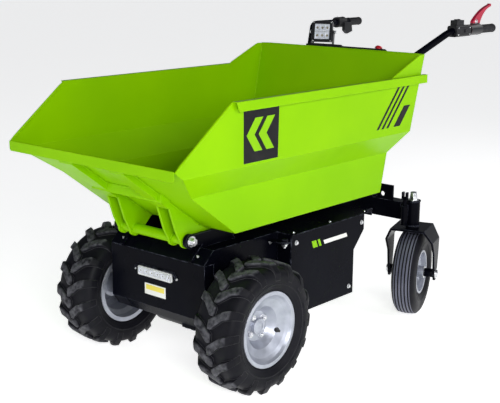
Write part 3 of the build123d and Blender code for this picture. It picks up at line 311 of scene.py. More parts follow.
looks = {
    # its light green edges are a painted highlight along the sheet's edges and folds
    "green_paint": paint(
        *GREEN, radius=0.003, dust=0.012, grain=260, depth=0.00005, edge_wear_and_highlight=(0.40, 0.74, 0.02, 1),
        edge_wear_and_highlight_share=0.6, Coat_Weight=0.01, Coat_Roughness=0.12, shine=0.05,
    ),
    # its bluish grey edges are a painted highlight along the folds and edges
    "black_paint": paint(
        (0.0012, 0.0013, 0.0032, 1), (0.003, 0.0034, 0.0068, 1), (0.22, 0.34), dust=0.006,
        edge_wear_and_highlight=(0.13, 0.14, 0.19, 1), edge_wear_and_highlight_share=0.75, grain=600, radius=0.0026, shine=0.035,
    ),
    "axle_paint": paint(*BLACK, (0.4, 0.6), dust=0.12, edge_wear_and_highlight=(0.12, 0.12, 0.12, 1), shine=0.2),
    "zinc_steel": metal(
        (0.62, 0.63, 0.66, 1), (0.78, 0.78, 0.80, 1), (0.2, 0.36), (1, 1, 8), Metallic=1,
    ),
    "silver_rim": metal(
        (0.32, 0.34, 0.40, 1), (0.46, 0.48, 0.55, 1), (0.30, 0.44), (2, 8, 2), radius=0.0015,
        depth=0.00005, Metallic=0.65, Coat_Weight=0.2, Coat_Roughness=0.15,
    ),
    # its lighter bluish lug tops are partly scuffs and partly a painted highlight
    "tyre": moulded(
        (0.004, 0.004, 0.0065, 1), (0.009, 0.009, 0.013, 1), (0.40, 0.58), radius=0.002, grain=420,
        dust=0.012, scuff_and_highlight=((0.195, 0.201), (0.26, 0.24), (0.085, 0.085, 0.098, 1)), shine=0.10,
    ),
    "rubber": moulded(
        (0.008, 0.008, 0.010, 1), (0.015, 0.015, 0.018, 1), (0.5, 0.66), dust=0.06, shine=0.25,
    ),
    "black_plastic": moulded(*BLACK, (0.32, 0.46), dust=0.03, shine=0.22),
    "battery_case": moulded((0.03, 0.03, 0.035, 1), (0.05, 0.05, 0.055, 1), (0.5, 0.6)),
    "red_lever": paint(
        (0.36, 0.004, 0.030, 1), (0.46, 0.008, 0.045, 1), (0.25, 0.38), dust=0,
        edge_wear_and_highlight=(0.6, 0.2, 0.25, 1), edge_wear_and_highlight_share=0.4, below=(PERCH_TOP, BLACK[0]), Coat_Weight=0.1,
        Coat_Roughness=0.1, shine=0.3,
    ),
    "red_button": moulded(
        (0.50, 0.006, 0.02, 1), (0.60, 0.015, 0.03, 1), (0.25, 0.35), dust=0.04, grain=1200,
        depth=0.00004,
    ),
    "lamp_metal": paint(
        *BLACK, (0.28, 0.40), dust=0.02, grain=900, edge_wear_and_highlight=(0.14, 0.14, 0.16, 1), edge_wear_and_highlight_share=0.6, shine=0.2,
    ),
    "lens": moulded(
        (0.78, 0.79, 0.80, 1), (0.86, 0.86, 0.86, 1), (0.15, 0.25), dust=0.04, grain=1500,
        depth=0.00003,
    ),
    # looks used only by pieces made below
    "decal_black": moulded(
        (0.004, 0.004, 0.005, 1), (0.008, 0.008, 0.009, 1), (0.30, 0.42), dust=0.02, shine=0.15,
        **FINE_FILM,
    ),
    "decal_green": paint(*GREEN, dust=0.03, shine=0.12),
    "label_white": moulded(
        (0.72, 0.72, 0.69, 1), (0.8, 0.8, 0.78, 1), (0.35, 0.45), dust=0.1, **FINE_FILM,
    ),
    "label_yellow": moulded(
        (0.72, 0.60, 0.06, 1), (0.80, 0.68, 0.12, 1), (0.35, 0.45), dust=0.1, **FINE_FILM,
    ),
    "led": glow((0.10, 0.09, 0.06, 1), 0.3, 0.3),
    # paler bluish rubber on the caster's rib faces: a painted highlight
    "caster_rib_painted_highlight": moulded(
        (0.075, 0.080, 0.120, 1), (0.130, 0.135, 0.180, 1), (0.40, 0.55), radius=0.001, grain=420,
        dust=0.03, shine=0.3,
    ),
    # its pale sky-blue glow is a painted reflection in the mirrored cups
    "reflector": moulded(
        (0.66, 0.67, 0.72, 1), (0.78, 0.79, 0.84, 1), (0.2, 0.3), dust=0.03, grain=1500,
        depth=0.00002, Emission_Color=(0.9, 0.93, 1, 1), Emission_Strength=0.22,
    ),
    "glass": glass((0.97, 0.98, 1, 1), (0.02, 0.06)),
    "valve_rubber": moulded((0.01, 0.01, 0.01, 1), (0.02, 0.02, 0.02, 1), (0.5, 0.6)),
}
for look_name, look_data in looks.items():
    look_data.name = look_name

for part in frame["record"]["subparts"]:
    mesh = nodes[part["node"]].data
    mesh.materials.clear()
    mesh.materials.append(looks[part["material_slot"]])


# -------- mesh code
WELD_R, WELD_STEP, WELD_SIDES = 2, 3, 8


def square_to(origin, normal):
    """A place whose Z runs along the normal, and whose Y points up where it can."""
    z = Vector(normal).normalized()
    up = Vector((1, 0, 0) if abs(z.z) > 0.99 else (0, 0, 1))
    x = up.cross(z).normalized()
    turned = Matrix((x, z.cross(x), z)).transposed().to_4x4()
    return Matrix.Translation(origin) @ turned


def square(half_x, half_y):
    return [(-half_x, -half_y), (half_x, -half_y), (half_x, half_y), (-half_x, half_y)]


def hexagon_ring(radius, cut, height, steps=24):
    """A hexagon's outline as (x, y, z), its corners cut off at a radius."""
    inner = radius * math.cos(math.pi / 6)
    ring = []
    for k in range(steps):
        angle = math.tau * k / steps
        off = (angle + math.pi / 6) % (math.pi / 3) - math.pi / 6
        r = min(cut, inner / math.cos(off))
        ring.append((r * math.cos(angle), r * math.sin(angle), height))
    return ring


class Piece:
    """A mesh made of several solids; sizes are in millimetres in the place given."""

    def __init__(self):
        self.mesh = bmesh.new()

    def add(self, points, faces, place=Matrix(), unit=MM):
        made = [self.mesh.verts.new(place @ (Vector(p) * unit)) for p in points]
        for face in faces:
            if len(set(face)) == len(face):
                self.mesh.faces.new([made[i] for i in face])

    def stack(self, rings, place=Matrix(), unit=MM):
        """A solid between its first and last ring of points."""
        count = len(rings[0])
        points = [p for ring in rings for p in ring]
        faces, last = [], len(points) - count
        for low in range(0, last, count):
            for i in range(count):
                j = (i + 1) % count
                faces.append((low + i, low + j, low + count + j, low + count + i))
        faces += [tuple(range(count))[::-1], tuple(range(last, last + count))]
        self.add(points, faces, place, unit)

    def lathe(self, profile, place, steps, closed=False):
        """A line of (radius, height) turned about the place's Z."""
        points, faces, count = [], [], len(profile)
        for k in range(steps):
            angle = math.tau * k / steps
            points += [(r * math.cos(angle), r * math.sin(angle), h) for r, h in profile]
        for k in range(steps):
            here, there = k * count, (k + 1) % steps * count
            for i in range(count if closed else count - 1):
                j = (i + 1) % count
                faces.append((here + i, there + i, there + j, here + j))
        self.add(points, faces, place)

    def prism(self, outline, low, high, place=Matrix()):
        self.stack([[(x, y, z) for x, y in outline] for z in (low, high)], place)

    def block(self, size, place=Matrix()):
        x, y, z = (v / 2 for v in size)
        self.prism(square(x, y), -z, z, place)

    def hexagon(self, radius, low, high, place):
        """A nut or bolt head with chamfered corners."""
        chamfer = radius * 0.1
        cuts = ((radius, low), (radius, high - chamfer), (radius * 0.9, high))
        self.stack([hexagon_ring(radius, cut, height) for cut, height in cuts], place)

    def tube(self, line, radius, steps, ripple=0):
        """A round bar along points in metres; a ripple makes it a weld bead."""
        rings, count = [], len(line)
        for i, here in enumerate(line):
            way = line[min(i + 1, count - 1)] - line[max(i - 1, 0)]
            place = square_to(here, way)
            r = radius * (1 + ripple * math.sin(i * 2.1)) * (0.5 if i in (0, count - 1) else 1)
            rings.append([
                place @ Vector((math.cos(a) * r * MM, math.sin(a) * r * MM, 0))
                for a in (math.tau * k / steps for k in range(steps))
            ])
        self.stack(rings, unit=1)

    def weld(self, start, end, radius=WELD_R):
        """A rippled weld bead between two places."""
        count = max(4, int((end - start).length / (WELD_STEP * MM)))
        line = [start.lerp(end, i / count) for i in range(count + 1)]
        self.tube(line, radius, WELD_SIDES, ripple=0.22)

    def ring_weld(self, place, radius, turns):
        """A weld bead round the place's Z."""
        line = [
            place @ Vector((radius * math.cos(a) * MM, radius * math.sin(a) * MM, 0))
            for a in (math.tau * k / turns for k in range(turns + 1))
        ]
        self.tube(line, WELD_R, WELD_SIDES, ripple=0.2)

    def object(self, name, body, look, slot=None, bevel=0, sharp=35):
        """Closes the piece as an object that rides on a body."""
        bmesh.ops.remove_doubles(self.mesh, verts=self.mesh.verts, dist=1e-6)
        bmesh.ops.dissolve_degenerate(self.mesh, dist=1e-7, edges=self.mesh.edges)
        bmesh.ops.recalc_face_normals(self.mesh, faces=self.mesh.faces)
        data = bpy.data.meshes.new(name)
        self.mesh.to_mesh(data)
        self.mesh.free()
        data.polygons.foreach_set("use_smooth", [True] * len(data.polygons))
        data.set_sharp_from_angle(angle=math.radians(sharp))
        made = bpy.data.objects.new(name, data)
        bpy.context.scene.collection.objects.link(made)
        made.data.materials.append(looks[look])
        if bevel:
            edges = made.modifiers.new("edges", "BEVEL")
            edges.width, edges.segments, edges.limit_method = bevel * MM, 2, "ANGLE"
            edges.harden_normals = True
        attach(made, body)
        slot or look
        return made


# -------- front tyres
WHEEL_R = (tyre_high.z - tyre_low.z) / 2 / MM
TREAD_HALF = (tyre_high.y - joint_at["front_wheel_left"].y) / MM - 0.2  # no lug reaches past this
TREAD_BASE = 190
TREAD_TOP = WHEEL_R - 0.4  # the lugs' tops in the middle of the tread
TREAD_CROWN = 2.2  # and how far they fall from there to the shoulder
SHOULDER_Y = 58
TOP_FALL = 1.35  # fall of a lug's top and root past the shoulder, for each mm across
ROOT_FALL = 1.5
LUGS = 16
LUG_PITCH = math.tau / LUGS
LUG_TALL = 20  # height of the flat lug, before it is bent round the tread
LUG_ROOT = TREAD_BASE - 6  # sunk into the carcass
LUG_WRAP_R = 200  # radius on which a lug's length is laid
LUG_FLARE = 3
LUG_ROUND = 2.4
# corners of a lug as (y, s): out from the middle of the tread, and back along it
LUG_CORNERS = [(-5, -38), (-5, -12), (38, 20), (77, 36), (77, 9), (38, -6), (6, -38)]
LUG_INNER = -5
# cuts that let a flat lug bend
LUG_CUTS_Y = (6, 14, 22, 30, 38, 46, 54, 60, 66, 72)
LUG_CUTS_S = (-30, -20, -12, -6, 0, 8, 14, 20, 28)
# right half of the tyre's skin as (r, y), from the bead to the middle of the tread
TYRE_SKIN = [
    (104, 59), (113, 59.8), (119, 61.5), (121, 65), (124, 67.5), (127, 68), (129, 70), (134, 73),
    (140, 75.2), (141, 76.4), (143, 76.6), (144, 75.9), (152, 77.4), (160, 77.6), (168, 76),
    (175, 72.6), (181, 67.6), (186, 60), (189, 50), (190.4, 38), (191, 20), (191.2, 0),
]
TYRE_STEPS = 144
TYRE_SHARP = 42


def lug_top(y):
    """Radius of the lugs' tops across the tread."""
    crowned = TREAD_TOP - TREAD_CROWN * (y / SHOULDER_Y) ** 2
    return crowned - max(0, y - SHOULDER_Y) * TOP_FALL


def flat_lug():
    """One lug laid flat: x is s, y is across, z runs from 0 at the root up to LUG_TALL."""
    made = bmesh.new()
    count = len(LUG_CORNERS)
    middle = Vector((sum(s for _, s in LUG_CORNERS) / count, sum(y for y, _ in LUG_CORNERS) / count, 0))
    top = made.faces.new([made.verts.new((s, y, LUG_TALL)) for y, s in LUG_CORNERS])
    for v in bmesh.ops.extrude_face_region(made, geom=[top])["geom"]:
        if isinstance(v, bmesh.types.BMVert):
            v.co.z = 0
            v.co += (v.co - middle).normalized() * LUG_FLARE
    bmesh.ops.recalc_face_normals(made, faces=made.faces)
    half = LUG_TALL / 2
    rim = [e for e in made.edges if all(v.co.z > half for v in e.verts)]
    upright = [e for e in made.edges if abs(e.verts[0].co.z - e.verts[1].co.z) > half]
    bmesh.ops.bevel(
        made, geom=rim + upright, offset=LUG_ROUND, segments=2, profile=0.6, affect="EDGES",
        clamp_overlap=True,
    )
    cuts = [(Vector((0, y, 0)), Vector((0, 1, 0))) for y in LUG_CUTS_Y]
    cuts += [(Vector((s, 0, 0)), Vector((1, 0, 0))) for s in LUG_CUTS_S]
    for place, normal in cuts:
        geometry = made.verts[:] + made.edges[:] + made.faces[:]
        bmesh.ops.bisect_plane(made, geom=geometry, plane_co=place, plane_no=normal)
    bmesh.ops.triangulate(made, faces=made.faces)
    points = [v.co.copy() for v in made.verts]
    faces = [tuple(v.index for v in f.verts) for f in made.faces]
    made.free()
    return points, faces


def bent_lug(points, start, side):
    """The flat lug's points laid round the tread, on one side of its middle."""
    bent = []
    for p in points:
        y = max(p.y, LUG_INNER)
        foot = LUG_ROOT - max(0, y - SHOULDER_Y) * ROOT_FALL
        r = foot + (lug_top(abs(y)) - foot) * p.z / LUG_TALL
        angle = start - p.x / LUG_WRAP_R
        bent.append((r * math.sin(angle), side * min(p.y, TREAD_HALF), r * math.cos(angle)))
    return bent


def front_tyre(name, hand, lug):
    """Carcass with moulded rings and two rows of rounded lugs, the rows half a pitch apart."""
    piece = Piece()
    centre = joint_at["front_wheel_" + name]
    skin = TYRE_SKIN + [(r, -y) for r, y in TYRE_SKIN[-2::-1]]
    piece.lathe(skin, square_to(centre, (0, hand, 0)), TYRE_STEPS, closed=True)
    points, faces = lug
    for row, offset in ((1, 0), (-1, 0.5)):
        for i in range(LUGS):
            bent = bent_lug(points, (i + offset) * LUG_PITCH, hand * row)
            piece.add(bent, faces, Matrix.Translation(centre))
    tyre = piece.object("front_tread_" + name, "front_wheel_" + name, "tyre", sharp=TYRE_SHARP)
    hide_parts("front_tyre_" + name)


# -------- caster tyres
# right half of the wall as (r, y), from the bead to the shoulder
CASTER_BEAD = [
    (72.6, 31.2), (82.5, 31.8), (88, 35), (95, 38.5), (100, 40.2), (104, 41.8), (106, 43.2),
    (108, 43.3), (109, 42.6), (116, 43.6), (124, 43.9), (133, 42.6), (142, 39.6), (148, 36),
    (152.5, 31.5),
]
CASTER_R = 157.5
CASTER_CROWN = 3.4  # fall of the tread from its middle to CASTER_EDGE
CASTER_EDGE = 31
GROOVES = (24, 12, 0)
GROOVE_HALF = 1.7
GROOVE_DEEP = 4
RIB_OUTER = 30
RIB_FACE = 0.3  # paler band on each rib's face, a painted highlight, standing out this far
RIB_GAP = GROOVE_HALF + 0.9


def crown(y):
    """Radius of the caster's tread across its width."""
    return CASTER_R - CASTER_CROWN * (y / CASTER_EDGE) ** 2


def groove_wall(y, side):
    """One wall of a groove, from the rounded edge of its rib down to the bottom."""
    edge = y + side * GROOVE_HALF
    bottom = (crown(y) - GROOVE_DEEP, y + side * GROOVE_HALF * 0.7)
    return [(crown(edge) - 0.2, edge + side * 0.6), (crown(edge) - 0.8, edge), bottom]


def caster_skin():
    """Right half of the ribbed tyre's skin."""
    skin = CASTER_BEAD + [(crown(29), 29.0)]
    for y in GROOVES:
        skin += groove_wall(y, 1)
        if y:
            skin += groove_wall(y, -1)[::-1]
    return skin


def caster_tyre(name):
    """Ribbed tyre, and the face of each rib as a paler band of its own that carries a painted highlight."""
    place = square_to(joint_at["caster_roll_" + name], joint_axis["caster_roll_" + name])
    skin = caster_skin()
    piece, ribs = Piece(), Piece()
    piece.lathe(skin + [(r, -y) for r, y in skin[::-1]], place, TYRE_STEPS, closed=True)
    # a paler band on each rib's face: a painted highlight
    for outer, inner in zip((RIB_OUTER,) + GROOVES, GROOVES):
        low = inner + RIB_GAP
        high = outer - (RIB_GAP if outer in GROOVES else 0)
        for side in (1, -1):
            line = [(crown(y), side * y) for y in (low, (low + high) / 2, high)]
            band = [(r + RIB_FACE, y) for r, y in line] + [(r - 0.5, y) for r, y in line[::-1]]
            ribs.lathe(band, place, TYRE_STEPS, closed=True)
    body = "caster_wheel_" + name
    tyre = piece.object("caster_tread_" + name, body, "tyre", sharp=TYRE_SHARP)
    ribs.object("caster_rib_highlights_" + name, body, "caster_rib_painted_highlight", slot="tyre", sharp=TYRE_SHARP)
    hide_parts("caster_tyre_" + name)


# -------- wheels' small parts
# profiles are (radius, height)
BOWL_FLOOR = 10  # from the middle of the tyre
HUB_FACE = 24
HUB_CAP = [
    (24, -2), (25.4, -2), (25.4, 0.6), (24.6, 1.6), (20.2, 1.6), (19.4, 0.8), (19, 0.1),
    (17, 0.1), (15.5, 0.9), (6, 1.4), (5.4, 0.9), (0, 0.9),
]
BOWL_RING = [(50.2, 4), (47.8, 2.2), (46.2, 0.2), (46.4, -1), (50.6, 3)]
NUT_CIRCLE = 36
NUT_COUNT = 4
NUT_TURN = 0.35  # where the first nut sits, as a share of the pitch
NUT_R = 9.2
NUT_SEAT, NUT_TOP = 1.8, 9
NUT_WASHER = [(0, 0), (10.5, 0), (10.5, 1.2), (9.9, NUT_SEAT), (0, NUT_SEAT)]
NUT_STUD = [(4.4, 8), (4.4, 12.5), (3.6, 13.6), (0, 13.6)]
VALVE = [
    (8, -2), (8, 1.2), (6.2, 2.8), (4.6, 6), (4, 14), (3.7, 15), (3.7, 19), (4.3, 19.6),
    (4.3, 26), (3.4, 27.4), (0, 27.4),
]
VALVE_AT = (69, 0, 37)
VALVE_TURN, VALVE_LEAN = -20, -35


def lifted(profile, height):
    return [(r, h + height) for r, h in profile]


def around(place, count, radius, height, first=0):
    """Places on a circle, the first turned by a share of the pitch."""
    for k in range(count):
        angle = math.tau * (k + first) / count
        offset = Vector((radius * math.cos(angle), radius * math.sin(angle), height))
        yield place @ Matrix.Translation(offset * MM)


def hub_parts(name, hand):
    """Hub nuts with washers and studs, the hub's cap with the bowl's ring, and the valve."""
    body = "front_wheel_" + name
    place = square_to(joint_at[body], (0, hand, 0))
    nuts, cap, valve = Piece(), Piece(), Piece()
    for spot in around(place, NUT_COUNT, NUT_CIRCLE, BOWL_FLOOR, NUT_TURN):
        nuts.lathe(NUT_WASHER, spot, 24)
        nuts.hexagon(NUT_R, NUT_SEAT, NUT_TOP, spot)
        nuts.lathe(NUT_STUD, spot, 16)
    cap.lathe(lifted(HUB_CAP, HUB_FACE), place, 56)
    cap.lathe(lifted(BOWL_RING, BOWL_FLOOR), place, 72, closed=True)
    turn = Matrix.Rotation(math.radians(VALVE_TURN), 4, "Z")
    lean = Matrix.Rotation(math.radians(VALVE_LEAN), 4, "Y")
    valve.lathe(VALVE, place @ turn @ Matrix.Translation(Vector(VALVE_AT) * MM) @ lean, 20)
    nuts.object("hub_nuts_" + name, body, "zinc_steel")
    cap.object("hub_cap_" + name, body, "silver_rim")
    valve.object("valve_" + name, body, "valve_rubber", slot="rubber")


# bearing seal, from the middle of the caster wheel
SEAL = [
    (21, 45.6), (21.6, 46.6), (19.5, 47.4), (16.6, 47.4), (15.8, 46.8), (14.3, 47), (14.3, 45.6),
]
RIM_BOLTS = 5
RIM_BOLT_CIRCLE, RIM_BOLT_FACE = 50, 3
RIM_BOLT_R, RIM_BOLT_HEAD = 6, (-0.2, 5)
RIM_BOLT_END = [(3.2, 4), (3.2, 7.5), (2.6, 8.2), (0, 8.2)]


def caster_hub(name):
    """Bearing seals and rim bolts on both sides of a caster wheel."""
    axis = joint_axis["caster_roll_" + name]
    for side, hand in SIDES:
        place = square_to(joint_at["caster_roll_" + name], axis * hand)
        seal = Piece()
        seal.lathe(SEAL, place, 40, closed=True)
        for spot in around(place, RIM_BOLTS, RIM_BOLT_CIRCLE, RIM_BOLT_FACE):
            seal.hexagon(RIM_BOLT_R, *RIM_BOLT_HEAD, spot)
            seal.lathe(RIM_BOLT_END, spot, 12)
        seal.object(f"caster_seal_{name}_{side}", "caster_wheel_" + name, "zinc_steel")


CAP_LOW, CAP_TOP, PIN_NUT_TOP, PIN_END = 426.4, 431, 446, 460.2  # heights above the ground
CAP_R = 27.5
PIN_BORE = 11.2
PIN_WASHER = 2.4
PIN_NUT_R = 15
PIN_WASHER_EDGE = [
    (PIN_BORE, 0), (18.4, 0), (18.8, 0.6), (18.4, PIN_WASHER), (PIN_BORE, PIN_WASHER),
]
PIN_SHANK = [(12.4, 0), (12.4, 2.2), (11.8, 2.8)]
THREAD = [(11.1, 0), (11.8, 0.6), (11.8, 0.8), (11.1, 1.4)]  # one turn
THREAD_PITCH = 1.5


def kingpin(name):
    """Black cap over the swivel tube, the nut on its washer and the thread that passes it."""
    body = "caster_" + name
    middle = joint_at["caster_swivel_" + name]
    place = Matrix.Translation((middle.x, middle.y, 0))
    cap, nut = Piece(), Piece()
    cap.lathe([
        (PIN_BORE, CAP_LOW), (CAP_R - 0.6, CAP_LOW), (CAP_R, CAP_LOW + 0.8), (CAP_R, CAP_TOP - 1),
        (CAP_R - 0.9, CAP_TOP), (PIN_BORE, CAP_TOP),
    ], place, 48, closed=True)
    nut.lathe(lifted(PIN_WASHER_EDGE, CAP_TOP), place, 40)
    nut.hexagon(PIN_NUT_R, CAP_TOP + PIN_WASHER, PIN_NUT_TOP, place)
    profile = lifted(PIN_SHANK, PIN_NUT_TOP)
    h = profile[-1][1]
    while h < PIN_END - 1.6:
        profile += lifted(THREAD, h)
        h += THREAD_PITCH
    nut.lathe(profile + [(10.6, PIN_END), (0, PIN_END)], place, 32)
    cap.object("kingpin_cap_" + name, body, "black_paint")
    shown = nut.object("kingpin_nut_" + name, body, "zinc_steel")
    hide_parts("caster_nut_" + name)


LEG_FACE = 88.05  # just off the outer face of a fork's leg, from the middle of the wheel
AXLE_HEAD = 95  # outer face of the axle bolt's head and nut
SLEEVE = [(14.1, 47.8), (15.6, 47.8), (16, 48.4), (16, 78.4), (15.6, 79), (14.1, 79)]
AXLE_WASHER = [(8, 0), (17.4, 0), (17.8, 0.5), (17.4, 2), (8, 2)]
AXLE_STUD = [(7.2, -1), (7.2, 1.2), (6.4, 2), (0, 2)]


def caster_shaft(name):
    """Black sleeves over the spacers; washers and stud ends at the axle bolt."""
    axis = joint_axis["caster_roll_" + name]
    sleeves, ends = Piece(), Piece()
    for _, hand in SIDES:
        place = square_to(joint_at["caster_roll_" + name], axis * hand)
        sleeves.lathe(SLEEVE, place, 36, closed=True)
        ends.lathe(lifted(AXLE_WASHER, LEG_FACE), place, 36)
        ends.lathe(lifted(AXLE_STUD, AXLE_HEAD), place, 24)
    sleeves.object("caster_sleeves_" + name, "caster_wheel_" + name, "black_paint")
    ends.object("caster_bolt_ends_" + name, "caster_" + name, "zinc_steel")


# -------- bolts
def bolt(piece, origin, normal, radius, head=None, stud=0):
    """A hexagon head on its washer, with the end of the bolt where it shows."""
    place = square_to(origin, normal)
    low, edge, head = radius * 0.16, radius * 1.32, head or radius * 0.75
    piece.lathe([(0, -0.2), (edge, -0.2), (edge, low * 0.7), (edge * 0.96, low), (0, low)], place, 28)
    piece.hexagon(radius, low, low + head, place)
    if stud:
        r, end = radius * 0.52, low + head + stud
        profile, h = [(r, low)], low + head
        while h < end - 1:
            profile += [(r, h), (r * 0.88, h + 0.5), (r, h + 1.0)]
            h += 1.0
        piece.lathe(profile + [(r * 0.8, end), (0, end)], place, 20)


def screw(piece, origin, normal, radius):
    """A domed head with a socket."""
    # radius and height, both as shares of the head's radius
    dome = ((0.85, 0.55), (0.5, 0.7), (0.45, 0.7), (0.4, 0.3), (0, 0.3))
    profile = [(radius, -0.2), (radius, radius * 0.25)] + [(radius * a, radius * b) for a, b in dome]
    piece.lathe(profile, square_to(origin, normal), 24)


SIDE_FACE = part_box("side_cover_left")[1].y / MM
COVER_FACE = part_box("front_cover")[1].y / MM
CHEEK_PIN_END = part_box("pivot_pins")[1].y / MM
PANEL_FACE = 103
# bolts on the left side of the battery box and the front cover as (x, z); the right has the same
BOX_BOLTS = ((-621, 398), (-262, 398), (-262, 185), (-555, 185))
COVER_BOLTS = ((-200, 404), (-200, 300))
LID_TOP = 430
LID_SCREW_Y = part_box("battery_lid")[1].y / MM - 16
LID_SCREWS_X = (-650, -450, -258)
BAR_SCREWS_Y, BAR_SCREWS_Z = (-94, 89), 325  # beside the light bar
FOOT_BOLTS_Y, FOOT_X, FOOT_Z = (98, 124), 69, 164  # under the panel's foot
SLOPE_BOLT = (85, 162.5, 405.8)  # by the foot of each pivot cheek
SLOPE_NORMAL = (0.698, 0, 0.716)
PIN_TIP = [(6.4, -1), (6.4, 1.6), (5.6, 2.4), (0, 2.4)]


def skip_pin(y):
    """A place on the axis that the skip tips about."""
    return Vector((joint_at["skip_tip"].x, y * MM, joint_at["skip_tip"].z))


def chassis_bolts(piece):
    """Bolts and screws of the covers, the lid, the panel and the cheeks; the pins' ends."""
    for _, hand in SIDES:
        for x, z in BOX_BOLTS:
            bolt(piece, at(x, hand * SIDE_FACE, z), (0, hand, 0), 6.0)
        for x, z in COVER_BOLTS:
            bolt(piece, at(x, hand * COVER_FACE, z), (0, hand, 0), 6.0)
        piece.lathe(PIN_TIP, square_to(skip_pin(hand * CHEEK_PIN_END), (0, hand, 0)), 24)
        x, y, z = SLOPE_BOLT
        bolt(piece, at(x, hand * y, z), SLOPE_NORMAL, 5.0, stud=5)
        for x in LID_SCREWS_X:
            screw(piece, at(x, hand * LID_SCREW_Y, LID_TOP), (0, 0, 1), 5.0)
    for y in BAR_SCREWS_Y:
        screw(piece, at(PANEL_FACE, y, BAR_SCREWS_Z), (1, 0, 0), 4.2)
    for y in FOOT_BOLTS_Y:
        bolt(piece, at(FOOT_X, y, FOOT_Z), (0, 0, -1), 4.5)


TAB_AT = (-199, 262, 411)  # bolt through the tab on the cover's side
TAB_HALF = 14
TAB_PLATE = 4
TAB_WASHER = [(0, 0), (12, 0), (12, 1.6), (0, 1.6)]
TAB_HEAD_R, TAB_HEAD = 9, (1.6, 9)
TAB_STUD = [(5, 9), (5, 14), (4, 15), (0, 15)]
TAB_BUFFER = [(11, 0), (11.6, 0.6), (11.6, 10), (9, 12), (0, 12)]


def cover_tabs(bolts):
    """A tab on each side of the front cover, with a round buffer on it and its bolt below."""
    tabs = Piece()
    x, y, z = TAB_AT
    high = y + TAB_HALF
    for _, hand in SIDES:
        plate = Matrix.Translation(at(x, hand * (COVER_FACE + high) / 2, z))
        tabs.block((TAB_HALF * 2, high - COVER_FACE, TAB_PLATE), plate)
        under = at(x, hand * y, z - TAB_PLATE / 2)
        below = square_to(under, (0, 0, -1))
        bolts.lathe(TAB_WASHER, below, 32)
        bolts.hexagon(TAB_HEAD_R, *TAB_HEAD, below)
        bolts.lathe(TAB_STUD, below, 20)
        tabs.lathe(lifted(TAB_BUFFER, TAB_PLATE), square_to(under, (0, 0, 1)), 32)
    tabs.object("cover_tabs", "chassis", "black_paint", bevel=0.6)


# -------- lights
LED_FACE = 109
LED_Y = (-77, 70)
LED_Z = (310, 338.5)
LED_COUNT = 6
LED_DEEP = 3  # floor of the cups behind the bar's face
LED_CUP = [(7, 3.1), (8.6, 3.1), (8.6, 3.5), (7.2, 3.5), (6.4, 2.2), (2.6, 1.4), (2.6, 0.1)]
LED_CHIP = [(2.6, 0.1), (2.6, 1.4), (2.2, 1.7), (1.1, 2.1), (0, 2.2)]
LED_PANE = 1.2
LED_INSET = 2  # from the bar's edge to the pane's


def light_bar():
    """Six chips in mirrored cups behind a clear strip."""
    cups, chips, cover = Piece(), Piece(), Piece()
    (y0, y1), z = LED_Y, sum(LED_Z) / 2
    pitch = (y1 - y0) / LED_COUNT
    for i in range(LED_COUNT):
        place = square_to(at(LED_FACE - LED_DEEP, y0 + pitch * (i + 0.5), z), (1, 0, 0))
        cups.lathe(LED_CUP, place, 28)
        chips.lathe(LED_CHIP, place, 20)
    long, high = y1 - y0 - 2 * LED_INSET, LED_Z[1] - LED_Z[0] - 2 * LED_INSET
    cover.block((long, high, LED_PANE), square_to(at(LED_FACE + 1.4, (y0 + y1) / 2, z), (1, 0, 0)))
    cups.object("light_bar_cups", "chassis", "reflector", slot="lens")
    chips.object("light_bar_chips", "chassis", "led", slot="lens")
    cover.object("light_bar_cover", "chassis", "glass", slot="lens", bevel=0.5)


LAMP_AT = (-868, -110, 1014)
LAMP_TURN, LAMP_TILT = 22, 10
LAMP_HALF = 38
LAMP_FACE = 8
LAMP_RIM = 10
LAMP_RECESS = 5
LAMP_CELLS = (3, 2)
LAMP_CHIP = [(4.4, 0.2), (4.4, 1), (3, 2), (1.4, 2.6), (0, 2.8)]
CUP_HIGH, CUP_LOW = 3.4, 0.2
CUP_FLOOR = (0.45, 0.35)  # the cup's floor as shares of its mouth
BAR_HIGH = 3.6  # bars between the cups: height and half widths
BAR_ACROSS, BAR_ALONG = 0.7, 0.5
PANE_UP, PANE_THICK, PANE_GAP = 4.3, 0.8, 0.3
LAMP_SCREW_IN = 4.4
LAMP_PIVOT = (8, -8)  # out from the lamp's side, and back from its face


def lamp_place():
    """The lamp's front: x across, y up, z out of its face."""
    turns = ((LAMP_TURN, "Z"), (-LAMP_TILT, "Y"), (90, "Y"), (90, "Z"))
    place = Matrix.Translation(at(*LAMP_AT))
    for degrees, axis in turns:
        place = place @ Matrix.Rotation(math.radians(degrees), 4, axis)
    return place


